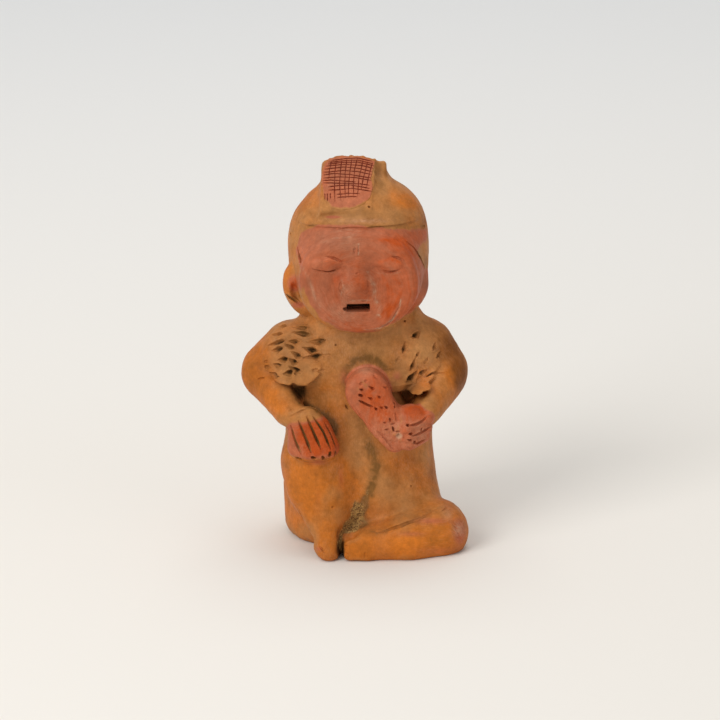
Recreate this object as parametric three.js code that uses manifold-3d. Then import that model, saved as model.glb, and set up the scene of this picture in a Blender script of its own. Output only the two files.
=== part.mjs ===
// Seated clay figurine, hand built and burnished, one fired piece that stands on its flat underside.
// It sits with one knee raised and the other leg folded in front, one hand on the knee, the other on a rattle.
// Millimetres, +Z up, +X to the figure's left hand side as seen from the front, the face looks along -Y.
// The form is a distance field of soft clay masses, negative inside. Its zero level becomes the mesh.
import * as THREE from "three";
import { edgeTable, triTable } from "three/addons/objects/MarchingCubes.js";
import { mergeVertices } from "three/addons/utils/BufferGeometryUtils.js";
import Module from "manifold-3d";

// Driving sizes
const height = 157.9; // underside to the top of the hair tuft
const mouthWidth = 9;
const mouthHeight = 3.2;
const mouthDepth = 6.5;
const faceRise = 1.8; // how far the face slab stands off the head
const lidRise = 0.8; // eyelid pads above the face
const flapRise = 2.2; // lower rim of each shoulder flap above the arm
const rattleThickness = 10;
const fingerWidth = 4.4; // ridges of the fingers on the resting hand
const legGroove = 4.4; // width of the groove between the legs at its foot

// Mesh
const cell = 1.05; // side of the sampling cubes, so that the smallest carving is found
const facets = 8600; // triangles kept where the surface turns most

// The figure is laid out in parts of its height, so every coordinate and radius below is a share of it.
const layoutHeight = 157.9;
const part = height / layoutHeight;
const inParts = (length) => length / part;

// Basic solids
function turned(tilt) {
  const euler = new THREE.Euler(...tilt.map(THREE.MathUtils.degToRad), "ZYX");
  return new THREE.Matrix4().makeRotationFromEuler(euler).elements;
}

// Point (x, y, z) seen from a frame at c turned by m
function local(m, c, x, y, z, out) {
  const a = x - c[0];
  const b = y - c[1];
  const d = z - c[2];
  out[0] = m[0] * a + m[1] * b + m[2] * d;
  out[1] = m[4] * a + m[5] * b + m[6] * d;
  out[2] = m[8] * a + m[9] * b + m[10] * d;
  return out;
}

function ball(c, r, tilt = [0, 0, 0]) {
  const m = turned(tilt);
  const q = [0, 0, 0];
  return (x, y, z) => {
    local(m, c, x, y, z, q);
    const a = q[0] / r[0];
    const b = q[1] / r[1];
    const d = q[2] / r[2];
    const near = Math.sqrt(a * a + b * b + d * d);
    const slope = Math.sqrt((a / r[0]) ** 2 + (b / r[1]) ** 2 + (d / r[2]) ** 2);
    return (near * (near - 1)) / Math.max(slope, 1e-6);
  };
}

// A tapering limb from a to b with round ends
function limb(a, b, ra, rb) {
  const ba = [b[0] - a[0], b[1] - a[1], b[2] - a[2]];
  const l2 = ba[0] * ba[0] + ba[1] * ba[1] + ba[2] * ba[2];
  const rr = ra - rb;
  const a2 = l2 - rr * rr;
  const il2 = 1 / l2;
  return (px, py, pz) => {
    const ax = px - a[0];
    const ay = py - a[1];
    const az = pz - a[2];
    const y = ax * ba[0] + ay * ba[1] + az * ba[2];
    const z = y - l2;
    const wx = ax * l2 - y * ba[0];
    const wy = ay * l2 - y * ba[1];
    const wz = az * l2 - y * ba[2];
    const x2 = wx * wx + wy * wy + wz * wz;
    const k = Math.sign(rr) * rr * rr * x2;
    if (Math.sign(z) * a2 * z * z * l2 > k) return Math.sqrt(x2 + z * z * l2) * il2 - rb;
    if (Math.sign(y) * a2 * y * y * l2 < k) return Math.sqrt(x2 + y * y * l2) * il2 - ra;
    return (Math.sqrt(x2 * a2 * il2) + y * rr) * il2 - ra;
  };
}

// A block with rounded edges
function block(c, half, round, tilt = [0, 0, 0]) {
  const m = turned(tilt);
  const q = [0, 0, 0];
  return (x, y, z) => {
    local(m, c, x, y, z, q);
    const a = Math.abs(q[0]) - half[0] + round;
    const b = Math.abs(q[1]) - half[1] + round;
    const d = Math.abs(q[2]) - half[2] + round;
    const outside = Math.sqrt(Math.max(a, 0) ** 2 + Math.max(b, 0) ** 2 + Math.max(d, 0) ** 2);
    return outside + Math.min(Math.max(a, b, d), 0) - round;
  };
}

const ramp = (value, from, to) => Math.min(Math.max((value - from) / (to - from), 0), 1);

// An upright drum of oval section with rounded rims that narrows by a share between two heights
function drum(c, r, half, round, narrows) {
  const least = Math.min(r[0], r[1]);
  return (x, y, z) => {
    const wide = 1 - narrows[2] * ramp(z, narrows[0], narrows[1]);
    const k = Math.sqrt(((x - c[0]) / r[0]) ** 2 + ((y - c[1]) / r[1]) ** 2) / wide;
    const a = (k - 1) * least + round;
    const b = Math.abs(z - c[2]) - half + round;
    return Math.sqrt(Math.max(a, 0) ** 2 + Math.max(b, 0) ** 2) + Math.min(Math.max(a, b), 0) - round;
  };
}

// An outline seen from the front, endless along Y
function oval(c, r, power = 2) {
  const least = Math.min(r[0], r[1]);
  return (x, y, z) => {
    const k = Math.abs((x - c[0]) / r[0]) ** power + Math.abs((z - c[1]) / r[1]) ** power;
    return (k ** (1 / power) - 1) * least;
  };
}

// Everything behind a plane through o whose outward side is n
function plane(n, o) {
  const v = new THREE.Vector3(...n).normalize();
  const s = v.dot(new THREE.Vector3(...o));
  return (x, y, z) => v.x * x + v.y * y + v.z * z - s;
}

// Ways to put them together, each with a softness k
function soft(a, b, k) {
  const h = Math.min(Math.max(0.5 + (0.5 * (b - a)) / k, 0), 1);
  return b + (a - b) * h - k * h * (1 - h);
}

function blend(k, ...all) {
  return (x, y, z) => {
    let d = all[0](x, y, z);
    for (let i = 1; i < all.length; i++) d = soft(d, all[i](x, y, z), k);
    return d;
  };
}

function within(k, ...all) {
  return (x, y, z) => {
    let d = all[0](x, y, z);
    for (let i = 1; i < all.length; i++) d = -soft(-d, -all[i](x, y, z), k);
    return d;
  };
}

function carve(k, from, ...all) {
  return (x, y, z) => {
    let d = from(x, y, z);
    for (const tool of all) d = -soft(-d, tool(x, y, z), k);
    return d;
  };
}

// Raises the surface by rise inside an outline, with an edge of softness k
function swell(base, rise, outline, edge, k) {
  return (x, y, z) => {
    const d = base(x, y, z);
    const up = typeof rise === "function" ? rise(x, y, z) : rise;
    return soft(d, -soft(up - d, -outline(x, y, z), edge), k);
  };
}

// Trunk, legs and arms
const trunk = blend(
  6,
  ball([1.2, 3, 44], [29.2, 25.5, 58]),
  drum([1.2, 3.5, 26], [30.6, 26.3], 28, 8, [20, 52, 0.25]),
  limb([-20, -4.6, 76.3], [18, -4.6, 76.4], 14.8, 14.8),
  limb([8, -2, 90], [23.6, -2, 84.4], 10, 8),
  ball([1, -4.5, 78], [22, 16, 18]),
  ball([2.3, -1, 92.5], [22.8, 17.5, 13]),
);
const raisedLeg = blend(
  3.4,
  limb([-14, -12.5, 34.6], [-14, -16, 27], 16.1, 13.6),
  limb([-14, -16, 27], [-11.5, -29.5, 5], 13.4, 4.3),
  ball([-11.5, -29, 3], [4.6, 6.5, 5]),
  ball([-14.9, -26.6, 3.4], [2.4, 2.8, 2.3]),
);
const foldedLeg = blend(
  3,
  limb([6, -27.8, 4.4], [20, -25.4, 5.8], 7.4, 10.2),
  limb([20, -25.4, 5.8], [31.2, -20, 7], 10.2, 12.9),
  limb([10, -4, 23], [25.2, -13.6, 10.2], 19, 10.6),
);
const foldedFoot = blend(
  3,
  block([0.3, -29.8, 4.7], [6.2, 5.9, 5.2], 2.9, [0, 3, 0]),
  limb([4, -29.4, 5], [14, -27.6, 5.6], 6.3, 7.7),
);
const restingUpper = limb([-25.8, 0, 78.6], [-34.5, 0, 69.6], 10.1, 10);
const holdingUpper = limb([28.5, 0, 78.3], [34.2, 0, 69.3], 10.3, 10);
const restingArm = blend(3, restingUpper, limb([-34.6, -1, 67], [-26, -21, 58.6], 9.8, 6.1));
const holdingArm = blend(3, holdingUpper, limb([34.8, -1, 66.2], [27.2, -25, 58.8], 10, 6));
const joined = blend(4, blend(7, trunk, raisedLeg), restingUpper, holdingUpper);
const limbs = blend(1.8, blend(6, joined, foldedLeg), foldedFoot, restingArm, holdingArm);

// Shoulder flaps, whose lower rims hang over the hollow inside each elbow
const flapTop = 82;
const flapFull = 70;
const facing = plane([0, 1, 0], [0, -4, 0]);
const flaps = within(2, blend(1, oval([-24.6, 80.6], [12, 11.8]), oval([20.3, 78.7], [13.4, 14])), facing);
const flapLift = (x, y, z) => inParts(flapRise) * ramp(z, flapTop, flapFull);
const robed = swell(limbs, flapLift, flaps, 2.4, 1.2);

// Groove between the legs, the gap between the feet and the hollows inside the elbows
const footGroove = inParts(legGroove) / 2;
const groove = blend(
  1,
  limb([2.3, -29, 47], [4.6, -29.5, 29], footGroove - 0.6, footGroove),
  limb([4.6, -29.5, 29], [-3.5, -31, 10], footGroove, footGroove + 1),
);

// A pit with three sides, given by the corners of its mouth in turn to the right
function pit(corners, back) {
  const sides = corners.map(([ax, az], i) => {
    const [bx, bz] = corners[(i + 1) % 3];
    return plane([az - bz, 0, bx - ax], [ax, 0, az]);
  });
  return within(1, ...sides, plane([0, 1, 0], [0, back, 0]));
}

const leftCorners = [
  [-26.6, 68.6],
  [-19.6, 69.2],
  [-20.4, 61],
];
const rightCorners = [
  [16.2, 65.8],
  [28.6, 66.4],
  [20.4, 58.6],
];
const feetGap = blend(
  1.5,
  block([-6.8, -36, 2], [0.85, 7, 6.5], 0.7),
  limb([-6.8, -30.5, 9.5], [-4.2, -31, 13], 1.8, 2.6),
);
const hollowed = carve(1.2, carve(2, robed, groove), pit(leftCorners, -13), pit(rightCorners, -12), feetGap);

// Head, with a flat topped tuft of hair that slopes down over the brow
const facePlate = within(9, oval([2.4, 113.6], [24.4, 21.9], 2.15), (x, y) => Math.abs(y + 12) - 14.2);
const skull = blend(
  6,
  ball([2.2, 1, 121.8], [27.6, 25, 27.2]),
  ball([2.3, -3, 110], [25, 17, 17]),
  facePlate,
  ball([9, 1, 131], [17.6, 19, 14.6]),
);
const tuftArch = (x, y, z) => Math.hypot(x + 0.8, z + 0.4 * (y + 2.8) - 128.5) - 30;
const tuftPad = within(
  1.4,
  block([-0.9, -4.5, 144.6], [12.8, 7.5, 13], 1.4, [-43, 0, 0]),
  plane([-1, 0, 0.06], [-11.6, 0, 151]),
  plane([-0.85, 0, 0.53], [-10.4, 0, 154.8]),
  plane([0.982, 0, -0.188], [9.6, 0, 155]),
  tuftArch,
);
const tuftFlank = blend(
  3,
  block([8.6, 1.2, 145.9], [5.3, 5, 7.8], 1.4, [-30, 0, 0]),
  limb([7, -6, 146], [6, -12, 138], 4.6, 5.5),
);
const crest = blend(2.2, blend(4.5, skull, tuftFlank), tuftPad);
const ears = blend(
  1,
  ball([-20.4, -8, 105.4], [7.1, 7, 11.3], [0, -14, 0]),
  ball([22.1, -8, 105.2], [7.2, 7.6, 10.8], [0, 16, 0]),
);
const bust = blend(1.6, blend(3.4, hollowed, crest), ears);

// Cap edge over the brow, then the face slab, lids, nose and mouth
const front = plane([0, 1, 0], [0, -6, 0]);
const capEdge = plane([0, -0.1, -1], [0, -24, 134.6]);
const capLift = (x, y, z) => 0.7 * ramp(z, 146, 136) * ramp(y, -4, -14);
const capped = swell(bust, capLift, capEdge, 1.2, 0.6);
const faceOutline = within(1.5, oval([2.2, 113.2], [23.4, 20.9], 2.15), front);
const faceLift = (x, y, z) => inParts(faceRise) * ramp(z, 134, 127);
const masked = swell(capped, faceLift, faceOutline, 1.2, 0.8);
const lidOutline = blend(1, oval([-9.8, 121.3], [6.6, 2.8]), oval([14.6, 120.9], [6.2, 2.8]));
const lidded = swell(masked, inParts(lidRise), within(1, lidOutline, front), 0.8, 0.5);
const nose = blend(
  1.8,
  limb([0.9, -25.6, 121], [0.5, -26.8, 114.5], 2.6, 4.6),
  ball([0.6, -27, 112.4], [6.7, 4.6, 5.3]),
);
const mouth = block(
  [1.8, -28, 103.4],
  [inParts(mouthWidth) / 2, inParts(mouthDepth), inParts(mouthHeight) / 2],
  0.6,
);
const faced = carve(0.4, blend(1.8, lidded, nose), mouth);

// Rattle, a pear shaped slab that leans on the chest
const pear = blend(
  3,
  limb([4.8, 0, 68.6], [11.3, 0, 57.8], 8.7, 6.5),
  limb([11.3, 0, 57.8], [15.3, 0, 49.5], 6.5, 4.6),
);
const rattleOutline = (x, y, z) => pear(x, 0, z);
const rattleSlab = (x, y, z) => Math.abs(y + 26.5 + 0.16 * (70 - z)) - inParts(rattleThickness) / 2;
const rattle = within(2.6, rattleOutline, rattleSlab);

// Hands: a mitten on the knee with fingers marked by grooves, and a fist round the rattle
const knuckles = [
  [-23.4, -24, 55.5],
  [-22, -25.5, 58],
  [-19.6, -26.5, 58.8],
  [-16.8, -27, 58],
  [-13.6, -27, 54.5],
];
const fingertips = [
  [-23.6, -25.6, 45],
  [-20.6, -27.4, 44],
  [-17, -28, 43.8],
  [-13, -27.6, 44.2],
  [-10.4, -27, 45.6],
];
const palmRadius = 3.3;
const palm = blend(2.6, ...knuckles.map((k, i) => limb(k, fingertips[i], palmRadius, palmRadius)));
const fingerRadius = inParts(fingerWidth) / 2;
const outward = ([x, y, z]) => [x, y - palmRadius + fingerRadius - 0.8, z];
const fingers = knuckles.map((k, i) => limb(outward(k), outward(fingertips[i]), fingerRadius, fingerRadius));
const mitten = blend(0.6, palm, ...fingers);
const fist = blend(
  0.8,
  ball([22.5, -28.6, 58.3], [6.6, 6, 5.1], [0, 15, 0]),
  limb([27.8, -29.8, 58], [19.8, -34, 55.2], 2.8, 2.7),
  limb([27.6, -29.8, 54.4], [20.3, -34.2, 51.6], 2.6, 2.5),
  limb([26.8, -29.8, 50.8], [21, -33.9, 48.6], 2.4, 2.3),
);
const figureField = blend(1.2, blend(2.5, faced, mitten), rattle, fist);

// Sampling box in parts, a little larger than the figure and reaching below its underside
const low = [-48, -40, -3];
const high = [48, 35, 163];
const field = (x, y, z) => Math.max(figureField(x, y, z), low[2] + 1 - z);

// The zero level of the field as triangles: cubes are visited in blocks, and blocks far from it are skipped
function levelMesh(f, from, to, step) {
  const block = 4;
  const count = [0, 1, 2].map((i) => Math.ceil((to[i] - from[i]) / step / block) * block + 1);
  const [nx, ny, nz] = count;
  const values = new Float32Array(nx * ny * nz).fill(NaN);
  const at = (i, j, k) => i + nx * (j + ny * k);
  const value = (i, j, k) => {
    const n = at(i, j, k);
    if (Number.isNaN(values[n])) {
      values[n] = f(from[0] + i * step, from[1] + j * step, from[2] + k * step);
    }
    return values[n];
  };
  const corners = [
    [0, 0, 0],
    [1, 0, 0],
    [1, 1, 0],
    [0, 1, 0],
    [0, 0, 1],
    [1, 0, 1],
    [1, 1, 1],
    [0, 1, 1],
  ];
  const edges = [
    [0, 1],
    [1, 2],
    [3, 2],
    [0, 3],
    [4, 5],
    [5, 6],
    [7, 6],
    [4, 7],
    [0, 4],
    [1, 5],
    [2, 6],
    [3, 7],
  ];
  const axisOf = edges.map(([a, b]) => [0, 1, 2].find((i) => corners[a][i] !== corners[b][i]));
  const seen = new Map();
  const points = [];
  const triangles = [];
  const reach = block * step * 1.6;
  const visit = (i, j, k) => {
    const v = corners.map((c) => value(i + c[0], j + c[1], k + c[2]));
    let code = 0;
    v.forEach((d, n) => {
      if (d < 0) code |= 1 << n;
    });
    if (!edgeTable[code]) return;
    const ids = edges.map(([a, b], n) => {
      if (!(edgeTable[code] & (1 << n))) return -1;
      const start = corners[a];
      const key = at(i + start[0], j + start[1], k + start[2]) * 3 + axisOf[n];
      if (seen.has(key)) return seen.get(key);
      const t = Math.min(Math.max(v[a] / (v[a] - v[b]), 0.03), 0.97);
      const p = [i, j, k].map((c, axis) => from[axis] + (c + start[axis] + (axis === axisOf[n] ? t : 0)) * step);
      points.push(p);
      seen.set(key, points.length - 1);
      return points.length - 1;
    });
    for (let n = code * 16; triTable[n] !== -1; n += 3) {
      triangles.push([ids[triTable[n]], ids[triTable[n + 2]], ids[triTable[n + 1]]]);
    }
  };
  for (let k = 0; k < nz - 1; k += block) {
    for (let j = 0; j < ny - 1; j += block) {
      for (let i = 0; i < nx - 1; i += block) {
        const middle = [i, j, k].map((c, axis) => from[axis] + (c + block / 2) * step);
        if (Math.abs(f(...middle)) > reach) continue;
        for (let c = 0; c < block; c++) {
          for (let b = 0; b < block; b++) {
            for (let a = 0; a < block; a++) visit(i + a, j + b, k + c);
          }
        }
      }
    }
  }
  return { points, triangles };
}

// Moves the points that are kept onto the zero level, by at most a little
function settle(f, points, kept) {
  const h = 0.05;
  const most = 0.15;
  for (const v of kept) {
    const [x, y, z] = points[v];
    const d = f(x, y, z);
    const g = [
      (f(x + h, y, z) - f(x - h, y, z)) / (2 * h),
      (f(x, y + h, z) - f(x, y - h, z)) / (2 * h),
      (f(x, y, z + h) - f(x, y, z - h)) / (2 * h),
    ];
    const steep = g[0] * g[0] + g[1] * g[1] + g[2] * g[2];
    const move = Math.min(Math.max(d / Math.max(steep, 0.05), -most), most);
    points[v] = [x - move * g[0], y - move * g[1], z - move * g[2]];
  }
}

const sub = (a, b) => [a[0] - b[0], a[1] - b[1], a[2] - b[2]];
const dot = (a, b) => a[0] * b[0] + a[1] * b[1] + a[2] * b[2];
const long = (a) => Math.sqrt(dot(a, a));
const cross = (a, b) => [a[1] * b[2] - a[2] * b[1], a[2] * b[0] - a[0] * b[2], a[0] * b[1] - a[1] * b[0]];
const plus = (a, b) => [a[0] + b[0], a[1] + b[1], a[2] + b[2]];

// Least first queue of the edges to merge
class Queue {
  constructor() {
    this.items = [];
  }

  push(item) {
    const { items } = this;
    let i = items.length;
    while (i > 0) {
      const up = (i - 1) >> 1;
      if (items[up].cost <= item.cost) break;
      items[i] = items[up];
      i = up;
    }
    items[i] = item;
  }

  pop() {
    const { items } = this;
    const top = items[0];
    const last = items.pop();
    const n = items.length;
    if (!n) return top;
    let i = 0;
    for (;;) {
      let down = 2 * i + 1;
      if (down >= n) break;
      if (down + 1 < n && items[down + 1].cost < items[down].cost) down += 1;
      if (items[down].cost >= last.cost) break;
      items[i] = items[down];
      i = down;
    }
    items[i] = last;
    return top;
  }
}

// Merges edges, least error first, until only the wanted number of triangles is left
function thin(points, triangles, wanted) {
  const normals = points.map(() => [0, 0, 0]);
  const errors = points.map(() => new Float64Array(10));
  const around = points.map(() => []);
  const stamps = new Int32Array(points.length);
  const faceNormal = (a, b, c) => cross(sub(b, a), sub(c, a));
  for (const t of triangles) {
    const n = faceNormal(points[t[0]], points[t[1]], points[t[2]]);
    const area = long(n) + 1e-12;
    const [a, b, c] = n.map((v) => v / area);
    const d = -dot([a, b, c], points[t[0]]);
    const q = [a * a, a * b, a * c, a * d, b * b, b * c, b * d, c * c, c * d, d * d];
    for (const v of t) {
      around[v].push(t);
      normals[v] = plus(normals[v], n);
      for (let i = 0; i < 10; i++) errors[v][i] += q[i] * area;
    }
  }
  const offer = (queue, u, v) => {
    const q = errors[u].map((e, i) => e + errors[v][i]);
    const middle = plus(points[u], points[v]).map((c) => c / 2);
    const gap = sub(points[u], points[v]);
    const size = dot(gap, gap);
    const hold = 2e-3 * (q[0] + q[4] + q[7]); // keeps the merged point near its edge on flat ground
    const r0 = [q[0] + hold, q[1], q[2]];
    const r1 = [q[1], q[4] + hold, q[5]];
    const r2 = [q[2], q[5], q[7] + hold];
    const side = [hold * middle[0] - q[3], hold * middle[1] - q[6], hold * middle[2] - q[8]];
    const c0 = cross(r1, r2);
    const det = dot(r0, c0);
    let p = middle;
    if (Math.abs(det) > 1e-15) {
      const c1 = cross(r2, r0);
      const c2 = cross(r0, r1);
      const solved = [0, 1, 2].map((i) => (c0[i] * side[0] + c1[i] * side[1] + c2[i] * side[2]) / det);
      const off = sub(solved, middle);
      if (dot(off, off) < 2 * size) p = solved;
    }
    const [x, y, z] = p;
    const cost =
      q[0] * x * x +
      2 * (q[1] * x * y + q[2] * x * z + q[3] * x + q[5] * y * z + q[6] * y + q[8] * z) +
      q[4] * y * y +
      q[7] * z * z +
      q[9];
    queue.push({ cost: Math.max(cost, 0) + 1e-4 * size, u, v, p, su: stamps[u], sv: stamps[v] });
  };
  const ring = (v) => {
    const out = new Set();
    for (const t of around[v]) for (const w of t) if (w !== v) out.add(w);
    return out;
  };
  const spoils = (v, other, p, normal) => {
    for (const t of around[v]) {
      if (t.includes(other)) continue;
      const [a, b, c] = t.map((w) => (w === v ? p : points[w]));
      const n = faceNormal(a, b, c);
      const area = long(n);
      let away = normal;
      for (const w of t) if (w !== v) away = plus(away, normals[w]);
      if (dot(n, away) < 0.25 * area * long(away)) return true;
      const longest = Math.max(long(sub(a, b)), long(sub(b, c)), long(sub(c, a)));
      if (area < 0.04 * longest * longest) return true;
    }
    return false;
  };
  const queue = new Queue();
  for (const t of triangles) {
    for (let i = 0; i < 3; i++) {
      const j = (i + 1) % 3;
      if (t[i] < t[j]) offer(queue, t[i], t[j]);
    }
  }
  const gone = new Set();
  while (triangles.length - gone.size > wanted && queue.items.length) {
    const { u, v, p, su, sv } = queue.pop();
    if (stamps[u] !== su || stamps[v] !== sv) continue;
    const near = ring(v);
    const shared = [...ring(u)].filter((w) => near.has(w));
    const normal = plus(normals[u], normals[v]);
    if (shared.length !== 2 || spoils(u, v, p, normal) || spoils(v, u, p, normal)) continue;
    points[u] = p;
    normals[u] = normal;
    for (let i = 0; i < 10; i++) errors[u][i] += errors[v][i];
    for (const t of around[v]) {
      if (t.includes(u)) {
        gone.add(t);
        for (const w of t) if (w !== v) around[w] = around[w].filter((o) => o !== t);
      } else {
        t[t.indexOf(v)] = u;
        around[u].push(t);
      }
    }
    around[v] = [];
    stamps[v] = -1;
    stamps[u] += 1;
    const next = ring(u);
    for (const w of next) offer(queue, u, w);
  }
  return triangles.filter((t) => !gone.has(t));
}

// Real size, clear of the plane of the underside so that the cut leaves no slivers
function realSize(points) {
  const clear = 0.2;
  for (const p of points) {
    for (let i = 0; i < 3; i++) p[i] *= part;
    if (Math.abs(p[2]) < clear) p[2] = -clear;
  }
}

const clay = levelMesh(field, low, high, inParts(cell));
const kept = thin(clay.points, clay.triangles, facets);
settle(field, clay.points, new Set(kept.flat()));
realSize(clay.points);

// The underside is cut flat, then the figure is centred over the origin
const wasm = await Module();
wasm.setup();

function solidOf(geometry) {
  const vertProperties = new Float32Array(geometry.getAttribute("position").array);
  const triVerts = new Uint32Array(geometry.index.array);
  return new wasm.Manifold(new wasm.Mesh({ numProp: 3, vertProperties, triVerts }));
}

function meshOf(points, triangles) {
  const numbers = new Map();
  const used = [];
  const numbered = (v) => {
    if (!numbers.has(v)) {
      numbers.set(v, numbers.size);
      used.push(...points[v]);
    }
    return numbers.get(v);
  };
  const index = triangles.flatMap((t) => t.map(numbered));
  return new THREE.BufferGeometry()
    .setAttribute("position", new THREE.Float32BufferAttribute(used, 3))
    .setIndex(index);
}

const room = 2 * height; // a block larger than the figure, standing on the plane of its underside
const above = new THREE.BoxGeometry(room, room, room).translate(0, 0, room / 2);
above.deleteAttribute("normal");
above.deleteAttribute("uv");
const uncut = solidOf(meshOf(clay.points, kept));
const standing = uncut.intersect(solidOf(mergeVertices(above))).getMesh();
const geometry = new THREE.BufferGeometry()
  .setAttribute("position", new THREE.BufferAttribute(standing.vertProperties, 3))
  .setIndex(new THREE.BufferAttribute(standing.triVerts, 1));
geometry.computeBoundingBox();
const middle = geometry.boundingBox.getCenter(new THREE.Vector3());
geometry.translate(-middle.x, -middle.y, 0);
geometry.computeVertexNormals();

const terracotta = new THREE.MeshStandardMaterial({ color: 0xb9743f, roughness: 0.6, metalness: 0 });
const figure = new THREE.Mesh(geometry, terracotta);
figure.name = "figure";

const part3d = new THREE.Group();
part3d.add(figure);

export default part3d;
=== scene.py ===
# Seated clay figurine: one hand-built, burnished terracotta piece with red slip, pressed marks and old dirt,
# with painted shade and highlights in its colour.
# The clay is laid out in millimetres, +Z up, face towards -Y, and turned into metres in the frame at the end.
import math
from concurrent.futures import ThreadPoolExecutor

import bpy
import numpy as np
from mathutils import Euler, Matrix, Vector


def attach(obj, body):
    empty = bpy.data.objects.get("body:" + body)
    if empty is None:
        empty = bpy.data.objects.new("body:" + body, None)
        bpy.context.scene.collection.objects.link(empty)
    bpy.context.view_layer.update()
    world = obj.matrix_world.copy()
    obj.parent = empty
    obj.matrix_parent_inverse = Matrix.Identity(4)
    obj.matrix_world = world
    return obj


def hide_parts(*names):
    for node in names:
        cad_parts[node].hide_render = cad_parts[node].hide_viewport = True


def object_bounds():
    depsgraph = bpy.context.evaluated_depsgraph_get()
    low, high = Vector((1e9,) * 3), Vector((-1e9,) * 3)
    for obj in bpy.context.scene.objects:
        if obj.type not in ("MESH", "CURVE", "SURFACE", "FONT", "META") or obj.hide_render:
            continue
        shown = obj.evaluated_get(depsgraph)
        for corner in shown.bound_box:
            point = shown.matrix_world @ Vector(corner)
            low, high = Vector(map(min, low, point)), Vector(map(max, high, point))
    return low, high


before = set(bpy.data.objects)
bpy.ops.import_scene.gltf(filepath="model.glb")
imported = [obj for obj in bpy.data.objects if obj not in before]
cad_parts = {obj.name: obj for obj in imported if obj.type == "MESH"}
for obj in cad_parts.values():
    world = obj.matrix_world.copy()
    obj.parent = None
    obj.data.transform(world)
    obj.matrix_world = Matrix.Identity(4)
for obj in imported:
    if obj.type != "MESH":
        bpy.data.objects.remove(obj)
cadBox = [list(corner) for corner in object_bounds()]

# The clay's layout: its height, and the middle of the solid's box in it
clay = {
    "tall": 157.9,
    "middle": (-0.13, -3.27),
    "cell": 0.3,  # mm, spacing of the samples of the form
    "triangles": 188000,
}
metre = (cadBox[1][2] - cadBox[0][2]) / clay["tall"]  # metres in one millimetre of the layout

# Where the picture was taken from, in the layout, with its lens in pixels
view = {
    "eye": (2.1, -1706.0, 632.0),
    "down": 18.15,
    "roll": -1.02,
    "focal": 4500.0,
    "side": 720,
}
down, roll = math.radians(view["down"]), math.radians(view["roll"])
ahead = np.array([0.0, math.cos(down), -math.sin(down)])
level = np.array([1.0, 0.0, 0.0])
raised = np.array([0.0, math.sin(down), math.cos(down)])
rightward = math.cos(roll) * level + math.sin(roll) * raised
upward = math.cos(roll) * raised - math.sin(roll) * level


def inFrame(points):
    across, deep = clay["middle"]
    return (np.asarray(points, float) - [across, deep, 0.0]) * metre


def pixelOf(x, y, z):
    eye = view["eye"]
    px, py, pz = x - eye[0], y - eye[1], z - eye[2]
    far = px * ahead[0] + py * ahead[1] + pz * ahead[2]
    u = view["side"] / 2 + view["focal"] * (px * rightward[0] + py * rightward[1] + pz * rightward[2]) / far
    v = view["side"] / 2 - view["focal"] * (px * upward[0] + py * upward[1] + pz * upward[2]) / far
    return u, v


tiny = 1e-9  # keeps divisions from zero


# Simple clay solids as distance fields, negative inside
def ball(centre, radii, tilt=(0, 0, 0)):
    turn = np.array(Euler(np.radians(tilt)).to_matrix(), np.float32)

    def form(x, y, z):
        a, b, c = x - centre[0], y - centre[1], z - centre[2]
        p = [(turn[0, i] * a + turn[1, i] * b + turn[2, i] * c) / radii[i] for i in range(3)]
        near = np.sqrt(p[0] ** 2 + p[1] ** 2 + p[2] ** 2)
        slope = np.sqrt(sum((p[i] / radii[i]) ** 2 for i in range(3)))
        return near * (near - 1) / np.maximum(slope, tiny)

    return form


def limb(start, end, startRadius, endRadius):
    a, b = np.array(start, float), np.array(end, float)
    ba = b - a
    l2 = float(ba @ ba)
    rr = startRadius - endRadius
    a2 = l2 - rr * rr
    a, ba = a.tolist(), ba.tolist()

    def form(x, y, z):
        px, py, pz = x - a[0], y - a[1], z - a[2]
        t = px * ba[0] + py * ba[1] + pz * ba[2]
        s = t - l2
        wx, wy, wz = px * l2 - t * ba[0], py * l2 - t * ba[1], pz * l2 - t * ba[2]
        w2 = wx * wx + wy * wy + wz * wz
        k = math.copysign(rr * rr, rr) * w2
        out = (np.sqrt(w2 * a2 / l2) + t * rr) / l2 - startRadius
        pastEnd = np.sign(s) * a2 * s * s * l2 > k
        beforeStart = ~pastEnd & (np.sign(t) * a2 * t * t * l2 < k)
        out = np.where(pastEnd, np.sqrt(w2 + s * s * l2) / l2 - endRadius, out)
        return np.where(beforeStart, np.sqrt(w2 + t * t * l2) / l2 - startRadius, out)

    return form


def block(centre, half, edge, tilt=(0, 0, 0)):
    turn = np.array(Euler(np.radians(tilt)).to_matrix(), np.float32)

    def form(x, y, z):
        a, b, c = x - centre[0], y - centre[1], z - centre[2]
        p = [np.abs(turn[0, i] * a + turn[1, i] * b + turn[2, i] * c) - half[i] + edge for i in range(3)]
        outside = np.sqrt(sum(np.maximum(q, 0) ** 2 for q in p))
        return outside + np.minimum(np.maximum(np.maximum(p[0], p[1]), p[2]), 0) - edge

    return form


def drum(centre, radii, half, edge, narrows):
    def form(x, y, z):
        wide = 1 - narrows[2] * ramp(z, narrows[0], narrows[1])
        k = np.sqrt(((x - centre[0]) / radii[0]) ** 2 + ((y - centre[1]) / radii[1]) ** 2) / wide
        a = (k - 1) * min(radii) + edge
        b = np.abs(z - centre[2]) - half + edge
        return np.sqrt(np.maximum(a, 0) ** 2 + np.maximum(b, 0) ** 2) + np.minimum(np.maximum(a, b), 0) - edge

    return form


def oval(centre, radii, power=2.0):
    def form(x, y, z):
        k = np.abs((x - centre[0]) / radii[0]) ** power + np.abs((z - centre[1]) / radii[1]) ** power
        return (k ** (1 / power) - 1) * min(radii)

    return form


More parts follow.
